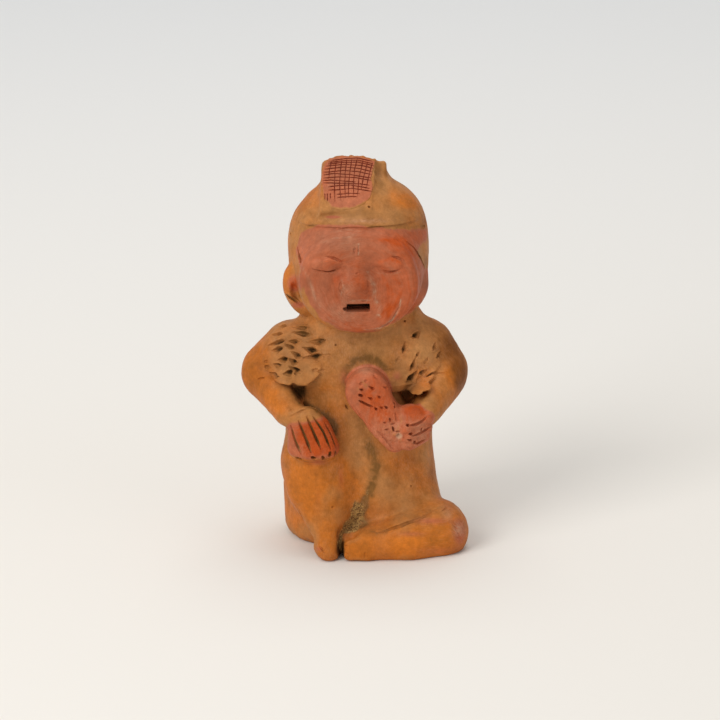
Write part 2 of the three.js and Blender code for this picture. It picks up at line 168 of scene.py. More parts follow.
def plane(outward, through):
    n = np.array(outward, float)
    n /= np.linalg.norm(n)
    s = float(n @ np.array(through, float))
    n = n.tolist()
    return lambda x, y, z: n[0] * x + n[1] * y + n[2] * z - s


def soft(a, b, k):
    h = np.clip(0.5 + 0.5 * (b - a) / k, 0, 1)
    return b + (a - b) * h - k * h * (1 - h)


def blend(k, first, *others):
    def form(x, y, z):
        d = first(x, y, z)
        for other in others:
            d = soft(d, other(x, y, z), k)
        return d

    return form


def opposite(form):
    return lambda x, y, z: -form(x, y, z)


def carve(k, first, *tools):
    return opposite(blend(k, opposite(first), *tools))


def within(k, first, *others):
    return carve(k, first, *[opposite(other) for other in others])


# Raises the surface by rise inside an outline
def swell(base, rise, outline, edge, k):
    def form(x, y, z):
        d = base(x, y, z)
        up = rise(x, y, z) if callable(rise) else rise
        return soft(d, -soft(up - d, -outline(x, y, z), edge), k)

    return form


def ramp(value, start, end):
    return np.clip((value - start) / (end - start), 0, 1)


workers = ThreadPoolExecutor(4)
batch = 9000  # points that a worker takes at a time


# Values of a form at many points
def measured(form, points):
    groups = np.array_split(np.asarray(points, np.float32), max(1, len(points) // batch))
    return np.concatenate(list(workers.map(lambda group: form(*np.ascontiguousarray(group.T)), groups)))


# Smooth seeded noise from -1 to 1, with lumps of about the given size
latticeSide = 32
lattice = np.random.default_rng(11).uniform(-1, 1, (latticeSide,) * 3).astype(np.float32)


def lumps(x, y, z, size):
    last = latticeSide - 1
    cells, eases = [], []
    for p in (x, y, z):
        q = np.asarray(p) / size
        low = np.floor(q)
        t = q - low
        cells.append(low.astype(np.int32) & last)
        eases.append(t * t * (3 - 2 * t))
    i, j, k = cells
    a, b, c = eases
    i1, j1, k1 = (i + 1) & last, (j + 1) & last, (k + 1) & last
    front = (lattice[i, j, k] * (1 - a) + lattice[i1, j, k] * a) * (1 - b)
    front += (lattice[i, j1, k] * (1 - a) + lattice[i1, j1, k] * a) * b
    back = (lattice[i, j, k1] * (1 - a) + lattice[i1, j, k1] * a) * (1 - b)
    back += (lattice[i, j1, k1] * (1 - a) + lattice[i1, j1, k1] * a) * b
    return front * (1 - c) + back * c


# Trunk, legs and arms
trunk = blend(
    6,
    ball((1.2, 3, 44), (29.2, 25.5, 58)),
    drum((1.2, 3.5, 26), (30.6, 26.3), 28, 8, (20, 52, 0.25)),
    limb((-20, -4.6, 76.3), (18, -4.6, 76.4), 14.8, 14.8),
    limb((8, -2, 90), (23.6, -2, 84.4), 10, 8),
    ball((1, -4.5, 78), (22, 16, 18)),
    ball((2.3, -1, 92.5), (22.8, 17.5, 13)),
)
raisedLeg = blend(
    3.4,
    limb((-14, -12.5, 34.6), (-14, -16, 27), 16.1, 13.6),
    limb((-14, -16, 27), (-11.5, -29.5, 5), 13.4, 4.3),
    ball((-11.5, -29, 3), (4.6, 6.5, 5)),
    ball((-14.9, -26.6, 3.4), (2.4, 2.8, 2.3)),
)
foldedLeg = blend(
    3,
    limb((6, -27.8, 4.4), (20, -25.4, 5.8), 7.4, 10.2),
    limb((20, -25.4, 5.8), (31.2, -20, 7), 10.2, 12.9),
    limb((10, -4, 23), (25.2, -13.6, 10.2), 19, 10.6),
)
foldedFoot = blend(
    3,
    block((0.3, -29.8, 4.7), (6.2, 5.9, 5.2), 2.9, (0, 3, 0)),
    limb((4, -29.4, 5), (14, -27.6, 5.6), 6.3, 7.7),
)
restingUpper = limb((-25.8, 0, 78.6), (-34.5, 0, 69.6), 10.1, 10)
holdingUpper = limb((28.5, 0, 78.3), (34.2, 0, 69.3), 10.3, 10)
restingArm = blend(3, restingUpper, limb((-34.6, -1, 67), (-26, -21, 58.6), 9.8, 6.1))
holdingArm = blend(3, holdingUpper, limb((34.8, -1, 66.2), (27.2, -25, 58.8), 10, 6))
joined = blend(4, blend(7, trunk, raisedLeg), restingUpper, holdingUpper)
limbs = blend(1.8, blend(6, joined, foldedLeg), foldedFoot, restingArm, holdingArm)

# Shoulder flaps over the hollows inside the elbows
flapEdge = within(
    2,
    blend(1, oval((-24.6, 80.6), (12, 11.8)), oval((20.3, 78.7), (13.4, 14))),
    plane((0, 1, 0), (0, -4, 0)),
)
flapOutline = lambda x, y, z: flapEdge(x, y, z) + 1.1 * lumps(x, y, z, 5) + 0.5 * lumps(x, y, z, 2)
flapped = swell(limbs, lambda x, y, z: 0.7 * ramp(z, 84, 76) + 2.3 * ramp(z, 75, 69), flapOutline, 1.2, 0.5)
legGroove = blend(
    1,
    limb((2.3, -29, 47), (4.6, -29.5, 29), 1.6, 2.2),
    limb((4.6, -29.5, 29), (-3.5, -31, 10), 2.2, 3.2),
)


# A pit with three sides, given by the corners of its mouth in turn to the right
def pit(corners, back):
    sides = []
    for (ax, az), (bx, bz) in zip(corners, corners[1:] + corners[:1]):
        sides.append(plane((az - bz, 0, bx - ax), (ax, 0, az)))
    return within(1, *sides, plane((0, 1, 0), (0, back, 0)))


leftPit = pit([(-26.6, 68.6), (-19.6, 69.2), (-20.4, 61)], -13)
rightPit = pit([(16.2, 65.8), (28.6, 66.4), (20.4, 58.6)], -12)
feetGap = blend(
    1.5,
    block((-6.8, -36, 2), (0.85, 7, 6.5), 0.7),
    limb((-6.8, -30.5, 9.5), (-4.2, -31, 13), 1.8, 2.6),
)
hollowed = carve(0.8, carve(2, flapped, legGroove), leftPit, rightPit, feetGap)

# Head and face
facePlate = within(9, oval((2.4, 113.6), (24.4, 21.9), 2.15), lambda x, y, z: np.abs(y + 12) - 14.2)
skull = blend(
    6,
    ball((2.2, 1, 121.8), (27.6, 25, 27.2)),
    ball((2.3, -3, 110), (25, 17, 17)),
    facePlate,
    ball((9, 1, 131), (17.6, 19, 14.6)),
)
# The tuft's top is broken off: it slopes back, rounded across and rough
crestTop = lambda x, y, z: (
    np.sqrt((x + 0.8) ** 2 + (z + 0.4 * (y + 2.8) - 128.5) ** 2) - 30 + 0.3 * lumps(x, 0 * y, 0 * z, 1.2)
)
crestPad = within(
    0.9,
    block((-0.9, -4.5, 144.6), (12.8, 7.5, 13), 0.8, (-43, 0, 0)),
    plane((-1, 0, 0.06), (-11.6, 0, 151)),
    plane((-0.85, 0, 0.53), (-10.4, 0, 154.8)),
    plane((0.982, 0, -0.188), (9.6, 0, 155)),
    crestTop,
)
crestFlank = blend(
    3,
    block((8.6, 1.2, 145.9), (5.3, 5, 7.8), 1.4, (-30, 0, 0)),
    limb((7, -6, 146), (6, -12, 138), 4.6, 5.5),
)
ears = carve(
    1.2,
    blend(
        1,
        ball((-20.4, -8, 105.4), (7.1, 7, 11.3), (0, -14, 0)),
        ball((22.1, -8, 105.2), (7.2, 7.6, 10.8), (0, 16, 0)),
    ),
    ball((-22.4, -15.4, 105.2), (2.8, 3.8, 5), (0, -14, 0)),
    ball((-19.2, -16.2, 101.2), (3.2, 3.4, 2.6)),
)
crest = blend(2.2, blend(4.5, skull, crestFlank), crestPad)
bust = blend(1.6, blend(3.4, hollowed, crest), ears)
facing = plane((0, 1, 0), (0, -6, 0))
capEdge = plane((0, -0.1, -1), (0, -24, 134.6))
capped = swell(bust, lambda x, y, z: 0.6 * ramp(z, 146, 136) * ramp(y, -2, -14), capEdge, 0.6, 0.3)
faceEdge = oval((2.2, 113.2), (23.4, 20.9), 2.15)
masked = swell(capped, lambda x, y, z: 1.7 * ramp(z, 134, 126), within(1.5, faceEdge, facing), 1.4, 0.7)
rimmed = swell(
    masked,
    lambda x, y, z: 0.7 * ramp(-x, -3, 9) * ramp(z, 124, 116),
    within(0.8, lambda x, y, z: np.abs(faceEdge(x, y, z) + 2.2) - 1.9, facing),
    2.4,
    0.9,
)
sockets = blend(1, ball((-6.6, -31.6, 118.6), (5, 4.6, 3.6)), ball((9.6, -31.6, 118.2), (5, 4.6, 3.6)))
lidOutline = blend(1, oval((-9.8, 121.3), (6.6, 2.7)), oval((14.6, 120.9), (6.2, 2.6)))
lidded = swell(carve(2.4, rimmed, sockets), 0.85, within(1, lidOutline, facing), 1.8, 0.5)
nose = blend(
    1.8,
    limb((0.9, -25.6, 121), (0.5, -26.8, 114.5), 2.6, 4.6),
    ball((0.6, -27, 112.4), (6.7, 4.6, 5.3)),
)
lips = blend(
    1,
    limb((-2.6, -26.6, 105.6), (6.4, -26.6, 105.8), 1.5, 1.4),
    limb((-2.4, -26.4, 101.6), (6, -26.4, 101.6), 1.3, 1.3),
)
mouth = block((1.8, -28, 103.4), (4.5, 6.5, 1.6), 0.4)
mouthTear = ball((-3.1, -27.5, 102.8), (1.1, 3, 0.7), (0, 20, 0))
faced = carve(0.3, blend(1.8, blend(3.6, lidded, nose), lips), mouth, mouthTear)

# Rattle, hand on the knee and fist
pear = blend(
    3,
    limb((4.8, 0, 68.6), (11.3, 0, 57.8), 8.7, 6.5),
    limb((11.3, 0, 57.8), (15.3, 0, 49.5), 6.5, 4.6),
)
rattle = within(
    3.4,
    lambda x, y, z: pear(x, 0 * y, z),
    lambda x, y, z: np.abs(y + 26.5 + 0.16 * (70 - z)) - 5,
)
fingers = (
    ((-23.4, -24, 55.5), (-23.6, -25.6, 45)),
    ((-22, -25.5, 58), (-20.6, -27.4, 44)),
    ((-19.6, -26.5, 58.8), (-17, -28, 43.8)),
    ((-16.8, -27, 58), (-13, -27.6, 44.2)),
    ((-13.6, -27, 54.5), (-10.4, -27, 45.6)),
)
mitten = blend(2.8, *[limb(knuckle, tip, 3.4, 3.6) for knuckle, tip in fingers])
fist = blend(
    0.8,
    ball((22.5, -28.6, 58.3), (6.6, 6, 5.1), (0, 15, 0)),
    limb((27.8, -29.8, 58), (19.8, -34, 55.2), 2.8, 2.7),
    limb((27.6, -29.8, 54.4), (20.3, -34.2, 51.6), 2.6, 2.5),
    limb((26.8, -29.8, 50.8), (21, -33.9, 48.6), 2.4, 2.3),
)
hands = blend(1.0, blend(2.5, faced, mitten), blend(2.6, rattle, fist))


# The uneven surface of clay smoothed by hand
def smoothed(x, y, z):
    uneven = 0.28 * lumps(x, y, z, 12) + 0.17 * lumps(x, y, z * 0.7, 4.6) + 0.075 * lumps(x, y, z, 1.9)
    torn = np.exp(-(((x - 13.8) / 4.5) ** 2) - ((z - 51.5) / 4) ** 2) * (y < -20)
    uneven += torn * (0.55 * lumps(x, y, z, 1.9) + 0.3 * lumps(x, y, z, 0.9))
    return hands(x, y, z) - uneven


print("forms ready")


# Marks in the clay are read off the picture as pixels and laid on the surface along the lines of sight. Each
# line starts in front of the figure and steps up to the clay.
def touch(form, pixels):
    nearSide, steps, pace = -60.0, 70, 0.75
    uv = np.array(pixels, float) - view["side"] / 2
    aim = ahead + np.outer(uv[:, 0], rightward) / view["focal"] - np.outer(uv[:, 1], upward) / view["focal"]
    start = np.array(view["eye"]) + aim * ((nearSide - view["eye"][1]) / aim[:, 1:2])
    aim /= np.linalg.norm(aim, axis=1, keepdims=True)
    gone = np.zeros(len(uv))
    for step in range(steps):
        gone += pace * measured(form, start + aim * gone[:, None])
    return start + aim * gone[:, None]


def outwardAt(form, points, reach=0.6):
    steps = reach * np.eye(3)
    slope = np.stack([measured(form, points + s) - measured(form, points - s) for s in steps], 1)
    return slope / np.maximum(np.linalg.norm(slope, axis=1, keepdims=True), tiny)


def pairs(path):
    return list(zip(path[::2], path[1::2]))


# A mark from its row: width and depth in mm, its shape, the lip that it raised in mm, and its path's pixels.
# The shape is a list of (share of the path, share of the width and depth). A wedge is steep on one side only.
def cut(row, wedge=False):
    width, depth, shape, lip, *path = row
    mark = {"half": width / 2, "depth": depth, "shape": shape, "lip": lip}
    return {**mark, "pixels": pairs(path), "wedge": wedge}


def layMarks(form, marks):
    spare = 1.5  # mm round each mark
    lengths = [len(mark["pixels"]) for mark in marks]
    paths = touch(form, [pixel for mark in marks for pixel in mark["pixels"]])
    outwards = outwardAt(form, paths)
    ends = np.cumsum(lengths)
    for mark, length, end in zip(marks, lengths, ends):
        path = paths[end - length : end]
        mark["path"], mark["outward"] = path.tolist(), outwards[end - length : end].tolist()
        mark["spans"] = np.linalg.norm(np.diff(path, axis=0), axis=1).tolist()
        reach = max(2 * mark["half"], mark["depth"]) + spare
        mark["low"], mark["high"] = path.min(0) - reach, path.max(0) + reach


# Distance to the side of a mark's path, negative over it, height over the surface, and the mark's size there
def alongMark(mark, x, y, z):
    heightCounts = 0.2
    best = np.full(x.shape, np.inf, np.float32)
    side, rise, share = np.zeros_like(x), np.zeros_like(x), np.zeros_like(x)
    path, outward, before = mark["path"], mark["outward"], 0.0
    whole = sum(mark["spans"])
    for i, span in enumerate(mark["spans"]):
        a, n0, n1 = path[i], outward[i], outward[i + 1]
        ba = [path[i + 1][c] - a[c] for c in range(3)]
        px, py, pz = x - a[0], y - a[1], z - a[2]
        t = np.clip((px * ba[0] + py * ba[1] + pz * ba[2]) / span**2, 0, 1)
        qx, qy, qz = px - t * ba[0], py - t * ba[1], pz - t * ba[2]
        up = sum(q * (n0[c] + t * (n1[c] - n0[c])) for c, q in enumerate((qx, qy, qz)))
        under = np.cross(ba, n0)
        below = np.sign(qx * under[0] + qy * under[1] + qz * under[2])
        off2 = np.maximum(qx * qx + qy * qy + qz * qz - up * up, 0)
        gap2 = off2 + heightCounts * up * up
        closer = gap2 < best
        best = np.where(closer, gap2, best)
        side = np.where(closer, np.sqrt(off2) * below, side)
        rise = np.where(closer, up, rise)
        share = np.where(closer, (before + t * span) / whole, share)
        before += span
    shares, sizes = zip(*mark["shape"])
    return side, rise, np.interp(share, shares, sizes).astype(np.float32)


def pressed(form, marks):
    crisp = 0.12  # mm, the rounding of a mark's rim
    steep, slanted = 0.55, 1.45  # the shares of a wedge's width on its two sides
    lipWide, lipReach = 0.55, 1.6  # mm

    def result(x, y, z):
        d = form(x, y, z)
        least, most = [p.min() for p in (x, y, z)], [p.max() for p in (x, y, z)]
        for mark in marks:
            low, high = mark["low"], mark["high"]
            if any(least[i] > high[i] or most[i] < low[i] for i in range(3)):
                continue
            between = [(p > low[i]) & (p < high[i]) for i, p in enumerate((x, y, z))]
            n = np.flatnonzero(np.all(between, axis=0))
            if not len(n):
                continue
            side, rise, size = alongMark(mark, x[n], y[n], z[n])
            half, depth = mark["half"] * size, mark["depth"] * size
            here = d[n]
            if mark["wedge"]:
                half = half * np.where(side < 0, steep, slanted)
            side = np.abs(side)
            if mark["lip"]:
                ridge = mark["lip"] * size * np.exp(-(((side - half) / lipWide) ** 2))
                here = here - ridge * (np.abs(rise) < lipReach)
            if mark["wedge"]:
                tool = np.maximum(-rise - depth * (1 - side / half), side - half)
            else:
                tool = np.sqrt((side / half) ** 2 + (np.maximum(-rise, 0) / depth) ** 2) - 1
                tool = tool * np.minimum(half, depth)
            d[n] = -soft(-here, tool, crisp)
        return d

    return result


whole = ((0, 1), (1, 1))
even = ((0, 0.4), (0.15, 1), (0.85, 1), (1, 0.4))
deepAtEnd = ((0, 0.15), (0.45, 0.6), (0.8, 1), (1, 0.65))
deepAtStart = tuple((1 - share, size) for share, size in reversed(deepAtEnd))
thin = ((0, 0.2), (0.4, 1), (0.7, 0.9), (1, 0.2))
tapered = ((0, 0.35), (0.2, 0.85), (0.75, 1), (1, 0.4))
widening = ((0, 0.3), (0.5, 1), (0.9, 1), (1, 0.5))
earlyDeep = ((0, 0.5), (0.3, 1), (0.8, 0.8), (1, 0.2))
lateDeep = ((0, 0.2), (0.5, 0.5), (0.8, 1.1), (1, 0.4))
broken = ((0, 0.3), (0.3, 1), (0.5, 0.5), (0.8, 1), (1, 0.6))
combed = ((0, 0.5), (0.1, 1), (0.5, 0.75), (0.9, 1), (1, 0.5))
combedDown = ((0, 0.5), (0.1, 1), (0.4, 0.7), (0.7, 1), (1, 0.5))


# The row of a short prick
def punch(u, v, width, depth, lip=0.15):
    return width, depth, whole, lip, u - 0.3, v, u + 0.3, v


# Hatching combed into the painted front of the crest
hatchRows = [
    (332, 160.4, 345, 158.6, 358, 158, 372, 161.4),
    (329, 162.4, 345, 160.6, 358, 160.2, 373, 163.8),
    (328, 164.2, 342, 162.4, 358, 162.2, 374, 165.8),
    (325.6, 166.3, 345, 164.4, 362, 165.6, 374, 168.6),
    (324.6, 169.2, 345, 167, 360, 168.6, 372.5, 172),
    (324, 172.3, 344, 170.5, 360, 172, 372, 175),
    (323.6, 175, 333, 173.6, 350, 174.6, 372, 178.4),
    (323.4, 178.2, 338, 177, 355, 177.6, 371, 180.6),
    (323, 180.6, 331, 180.1, 345, 181.2, 356, 182),
    (323.2, 183, 345, 183.4, 360, 184, 370, 185.4),
    (328, 187.4, 337, 185.8, 350, 185.2, 370, 188.4),
    (328.5, 190.6, 340, 189.6, 352, 188.6, 372, 191.2),
    (337, 194.4, 348, 193.6, 360, 193.6),
    (337.5, 197.4, 350, 196.8, 357.5, 197),
]
hatchColumns = [
    (331.5, 161, 329.6, 170, 329, 178),
    (336.5, 160, 335, 172, 334.6, 186, 335, 202),
    (342, 159, 340.6, 170, 339.6, 184, 341, 201),
    (347, 158.8, 345.4, 172, 344.8, 186, 345.6, 198),
    (352, 158.4, 350, 172, 348.6, 186, 348.8, 198),
    (357.5, 158.2, 354.6, 170, 353.4, 186, 354, 198),
    (363, 159.6, 361.6, 168, 359, 178, 357.6, 196),
    (368, 161.4, 365.6, 170, 363, 180, 361.4, 190),
    (372.6, 162.4, 370.4, 170, 368, 180, 366.4, 188),
    (376, 163.4, 374, 170, 371.4, 177),
    (325, 194, 324.8, 201),
    (327.4, 193.6, 327.6, 201.6),
    (330.4, 193.6, 330.6, 199),
]
hatch = [cut((0.56, 0.36, combed, 0, *line)) for line in hatchRows]
hatch += [cut((0.5, 0.32, combedDown, 0, *line)) for line in hatchColumns]

# Cap line, face edges, eyes and scars
faceMarks = [
    (2.0, 2.2, widening, 0.3, 297.4, 247.5, 299, 255, 301, 262),
    (1.2, 1.1, thin, 0.3, 405, 240.5, 413, 247, 418, 255, 423, 264, 424.5, 269),
    (1.5, 0.45, even, 0.12, 355, 248, 355, 254),
    (0.5, 0.2, even, 0.12, 358.6, 245, 358.4, 254),
    (1.1, 0.7, thin, 0.1, 326, 256.3, 335, 258.6, 343, 262),
    (1.0, 0.8, lateDeep, 0.3, 310, 268.4, 322, 270.0, 327, 270.6, 335.5, 269.3),
    (1.1, 0.8, thin, 0.15, 391, 256.3, 399, 258, 405, 261.5),
    (1.1, 0.8, thin, 0.25, 375, 270.3, 390, 272, 402, 269.3),
    (0.7, 0.4, thin, 0.15, 360, 301, 368.5, 301),
    (0.9, 0.1, thin, 0.14, 401.5, 300, 399, 308, 393, 319, 386, 324.5, 377, 328.5),
    (1.1, 0.9, earlyDeep, 0.6, 286, 293.5, 291.5, 298, 300, 304),
    (1.7, 0.35, thin, 0, 341.5, 280, 340, 288, 344.5, 295.5, 352, 298),
    (1.7, 0.35, thin, 0, 367.5, 279, 369.5, 287, 366.5, 294.5),
    punch(290.8, 234, 0.8, 0.7),
    punch(357, 273.5, 0.8, 0.3),
    punch(405, 321, 0.9, 0.9),
    punch(295.5, 316.5, 1.8, 1.4),
    punch(424, 226, 1.0, 0.4),
    punch(369.2, 206.8, 0.9, 1.0),
    (0.6, 0.5, thin, 0, 375, 179, 377.6, 185),
]

# Slanting gouges on both flaps, shallow at one end and deep at the other: the pixels of both ends and a width
leftGouges = [
    (278.5, 326.5, 286, 326, 2.0), (291, 326.5, 306, 327.3, 2.0), (290, 331.5, 308.5, 333.8, 2.2),
    (271.5, 335, 281.5, 333.3, 1.8), (268, 345.5, 282.8, 340.5, 2.2), (288, 340.5, 297.5, 341, 2.0),
    (306, 341.8, 323, 340, 2.6), (284.5, 344, 293.5, 347.2, 1.8), (272, 350.8, 281, 347.6, 2.4),
    (303, 347, 315, 349.7, 3.0), (291, 351.2, 300, 355.4, 2.4), (303.5, 357.5, 319.6, 354.8, 2.8),
    (277.5, 360.2, 285.8, 358, 2.6), (288.5, 358.5, 296, 361.5, 2.4), (273, 364, 280, 364.5, 2.0),
    (288.5, 366, 299.3, 370.2, 2.8), (283.3, 374, 290.8, 371, 2.6), (270.5, 372.5, 277, 375, 3.0),
]
faintGouges = [
    (323, 355.8, 330.5, 355.3, 1.2), (264.5, 361.8, 268.5, 361.5, 1.2), (265.5, 366.8, 269.5, 367.2, 1.4),
    (258, 379.2, 265, 378.3, 0.8), (312.5, 371, 318, 369.5, 1.4), (318, 371.5, 325, 369.8, 1.2),
    (396, 363, 401, 356, 1.4), (424, 364, 428, 358, 1.4),
]
rightGouges = [
    (413.3, 335.2, 421, 330.3, 2.6), (402.8, 351, 405.5, 340, 2.2), (432.6, 348.5, 435.3, 341.5, 1.8),
    (437, 355.6, 441, 350.3, 2.0), (416.4, 355.3, 420, 350.8, 1.8), (410.8, 368.3, 415.5, 357.5, 2.2),
    (420, 372.6, 428.6, 369, 2.0), (408.2, 379.5, 417.5, 370.5, 3.2),
]
gouges = [cut((1.15 * wide, 0.85 * wide, deepAtEnd, 0.5, *ends), True) for *ends, wide in leftGouges]
gouges += [cut((wide, 0.3 * wide, even, 0.15, *ends)) for *ends, wide in faintGouges]
gouges += [cut((1.2 * wide, 0.85 * wide, deepAtStart, 0.5, *ends), True) for *ends, wide in rightGouges]
chestMarks = [
    punch(336, 345, 0.7, 0.5),
    (1.4, 1.0, thin, 0.1, 425, 377.5, 436, 372.5, 445, 373),
    (1.0, 0.7, thin, 0.15, 345, 404.5, 348.8, 409.4),
]

# Fingers, wrist, fist and the rattle's pricked face
handMarks = [
    (1.3, 1.4, tapered, 0, 290.6, 425.5, 294, 439, 301, 454.5),
    (1.3, 1.4, tapered, 0, 298.2, 420.5, 304, 435, 311.2, 452.5),
    (1.25, 1.4, tapered, 0, 306.6, 416.8, 313, 432, 321.2, 449.5),
    (1.1, 1.3, tapered, 0, 313, 416, 323.5, 432, 331, 449.5),
    (0.95, 1.1, tapered, 0, 324.4, 422.8, 331, 434, 336.8, 449.5),
    (1.8, 1.7, even, 0.3, 296, 457.6, 301.5, 459.6),
    (1.5, 1.5, even, 0.25, 311.4, 457, 315.6, 458.6),
    (1.3, 1.4, even, 0.25, 322.4, 456.4, 324.4, 459.6),
    (1.4, 1.4, even, 0, 330.3, 452, 329.8, 457),
    (1.2, 1.2, even, 0, 335.6, 451.5, 334.8, 456),
    (1.2, 0.6, thin, 0.1, 289, 417.5, 297, 413.5, 307.8, 408.5),
    (1.0, 0.3, thin, 0, 288, 412, 296, 408.5),
    (1.3, 0.9, thin, 0.3, 406, 425, 411, 425.6, 416.7, 424.3, 422.5, 421, 427.8, 416.2),
    (1.3, 0.9, thin, 0.3, 411.5, 436.2, 416.5, 434.8, 422.7, 431.7, 431, 426.4),
    (0.6, 0.4, thin, 0.1, 419.5, 435, 421, 429.5, 422.5, 427),
    (1.0, 0.9, thin, 0.15, 412, 443.8, 418, 443, 425, 439.4),
    (0.9, 0.9, thin, 0.2, 406, 446.2, 409.3, 447.8, 416.7, 447.3),
    (1.3, 1.4, even, 0.1, 406.3, 425.2, 409.3, 425.4),
    (1.2, 1.2, even, 0.2, 409, 433.3, 412, 434),
    (1.1, 1.2, deepAtEnd, 0.15, 406.6, 439.2, 411.4, 440.4),
    punch(414.2, 441.8, 1.0, 0.9),
    (1.0, 0.4, thin, 0, 404.5, 432.5, 403.5, 440),
]
rattleMarks = [
    (0.7, 0.35, thin, 0.1, 366.7, 370, 372.7, 368.7),
    (0.7, 0.3, thin, 0.1, 363, 372.5, 366.7, 371),
    (1.2, 0.5, even, 0.2, 373.3, 375, 376.7, 377.7),
    (1.3, 0.5, even, 0.2, 360, 385, 362.5, 382.5),
    (1.1, 0.4, even, 0.15, 364.5, 381.5, 367.5, 380.5),
    (1.25, 1.4, deepAtEnd, 0.3, 358.9, 388.7, 362.7, 390.3),
    (1.3, 1.3, deepAtEnd, 0.3, 368.4, 385.8, 373.7, 389.3),
    (1.1, 0.9, deepAtEnd, 0.2, 382.4, 386.2, 386.7, 388.4),
    (1.15, 1.4, even, 0.25, 358.6, 394.6, 363, 396.4),
    (1.2, 1.2, deepAtEnd, 0.25, 367.6, 397.2, 372, 399.3),
    (1.1, 1.1, deepAtEnd, 0.25, 377.3, 395.6, 380.2, 398),
    (0.95, 1.3, even, 0.25, 359, 400.6, 363.3, 402.7, 368.7, 405.3, 372.9, 406.8),
    (1.2, 1.3, deepAtEnd, 0.25, 374.2, 407.2, 377, 409.8),
    (1.15, 0.9, deepAtEnd, 0.25, 379.2, 406.2, 382.7, 408.4),
    (1.2, 1.2, deepAtEnd, 0.25, 384, 405.6, 387.4, 408.3),
    (1.1, 1.1, deepAtEnd, 0.25, 392, 400.2, 394.7, 404.8),
    (0.6, 0.6, even, 0, 394.3, 406, 394.8, 408),
    (0.7, 0.5, thin, 0.15, 383, 422.3, 386.5, 423.3),
    (0.8, 0.5, thin, 0.15, 389.6, 417.5, 390.8, 422),
    (0.8, 0.4, thin, 0.15, 390.5, 424.6, 395.5, 423),
    (0.9, 0.9, thin, 0.2, 392.2, 426, 394.4, 432),
    (0.8, 0.4, thin, 0.2, 384.5, 430, 389, 429),
    (0.7, 0.5, even, 0.15, 396.5, 431.3, 400, 431.5),
    (0.9, 0.35, thin, 0.15, 353.5, 405, 361, 415.5, 368.7, 424.8, 376, 430.5),
    (1.3, 0.7, broken, 0.2, 377, 431, 383, 435.5, 388, 442, 394, 449.5),
    (1.3, 0.4, thin, 0, 395, 412, 397.5, 420, 402, 428),
]

# Creases of the legs and feet
legMarks = [
    (1.8, 0.9, thin, 0, 373, 532, 385, 531, 400, 526, 414, 520.5, 428, 514, 437, 509),
    (2.0, 0.9, thin, 0, 300, 512, 306, 525, 313, 538, 318, 548),
    (1.0, 0.7, thin, 0.15, 318, 546, 322, 549, 324, 554),
    (0.7, 0.4, even, 0, 365, 552.5, 365.3, 557.5),
    (1.2, 0.4, thin, 0.25, 344.5, 546, 347.5, 546.5),
    (1.2, 0.4, thin, 0.25, 345, 553.5, 348.5, 554),
    punch(332.5, 507, 0.7, 0.4),
    punch(411.3, 486, 0.7, 0.4),
    (0.8, 0.25, thin, 0.1, 441, 512, 447, 508, 452, 512),
    (0.8, 0.25, thin, 0.1, 452, 524, 457, 530, 459, 537),
    (1.2, 0.35, thin, 0, 357, 449, 361, 456, 363, 466),
]
marks = [cut(row) for row in faceMarks] + gouges
marks += [cut(row) for row in chestMarks + handMarks + rattleMarks + legMarks]
standing = plane((0, 0, -1), (0, 0, 0))
layMarks(hands, marks)
layMarks(hands, hatch)
print("marks laid on:", len(marks) + len(hatch))


def fromPath(path, u, v):
    nearest = np.full(u.shape, np.inf)
    for (au, av), (bu, bv) in zip(path, path[1:]):
        du, dv = bu - au, bv - av
        t = np.clip(((u - au) * du + (v - av) * dv) / (du * du + dv * dv), 0, 1)
        nearest = np.minimum(nearest, np.hypot(u - au - t * du, v - av - t * dv))
    return nearest


# Pixels inside an outline are positive
def insideOutline(outline, u, v):
    nearest, crossings = fromPath(outline + outline[:1], u, v), np.zeros(u.shape, int)
    for (au, av), (bu, bv) in zip(outline, outline[1:] + outline[:1]):
        dv = bv - av
        straddles = (av > v) != (bv > v)
        crossings += straddles & (u < au + (v - av) * (bu - au) / (dv or tiny))
    return np.where(crossings % 2 == 1, nearest, -nearest)


# The painted pad is a skin of its own on the front of the crest, and the clay under it is sunk a little
pad = {
    "edge": [
        (329, 157.5), (343, 155.5), (358, 155), (376.5, 160.5), (374, 170), (372, 178), (374, 188),
        (371, 198), (364, 205), (353, 209.5), (341, 211), (331, 209), (324.5, 202), (321.5, 190),
        (321, 172), (324, 162),
    ],
    "middle": (-0.4, -10.7, 149.0),
    "across": (1.0, 0.0, 0.0),
    "outward": (0.0, -0.7314, 0.682),
    "proud": 0.14,
    "sunk": 0.55,
    "spacing": 0.15,
    "wide": (-13.0, 12.0),
    "tall": (-16.0, 13.0),
    "top": 7,  # up from its middle, where it turns over the tuft's top
    "lowest": 134,  # the pad lies above this height and in front of this depth
    "deepest": 6,
    "hindmost": -4,
    "tucked": 0.35,  # its rim goes this far into the clay
    "longest": 1.2,  # the longest side of a face
}


def padInside(x, y, z):
    middle, outward = pad["middle"], pad["outward"]
    proud = (y - middle[1]) * outward[1] + (z - middle[2]) * outward[2]
    onFront = (z > pad["lowest"]) & (proud > pad["hindmost"])
    return np.where(onFront, insideOutline(pad["edge"], *pixelOf(x, y, z)), -9)


def skinForm(x, y, z):
    d = within(0.9, smoothed, standing)(x, y, z)
    if z.max() > pad["lowest"] and y.min() < pad["deepest"]:
        d = d + pad["sunk"] * ramp(padInside(x, y, z), 0.4, 2.0)
    return d


figureForm = pressed(skinForm, marks)


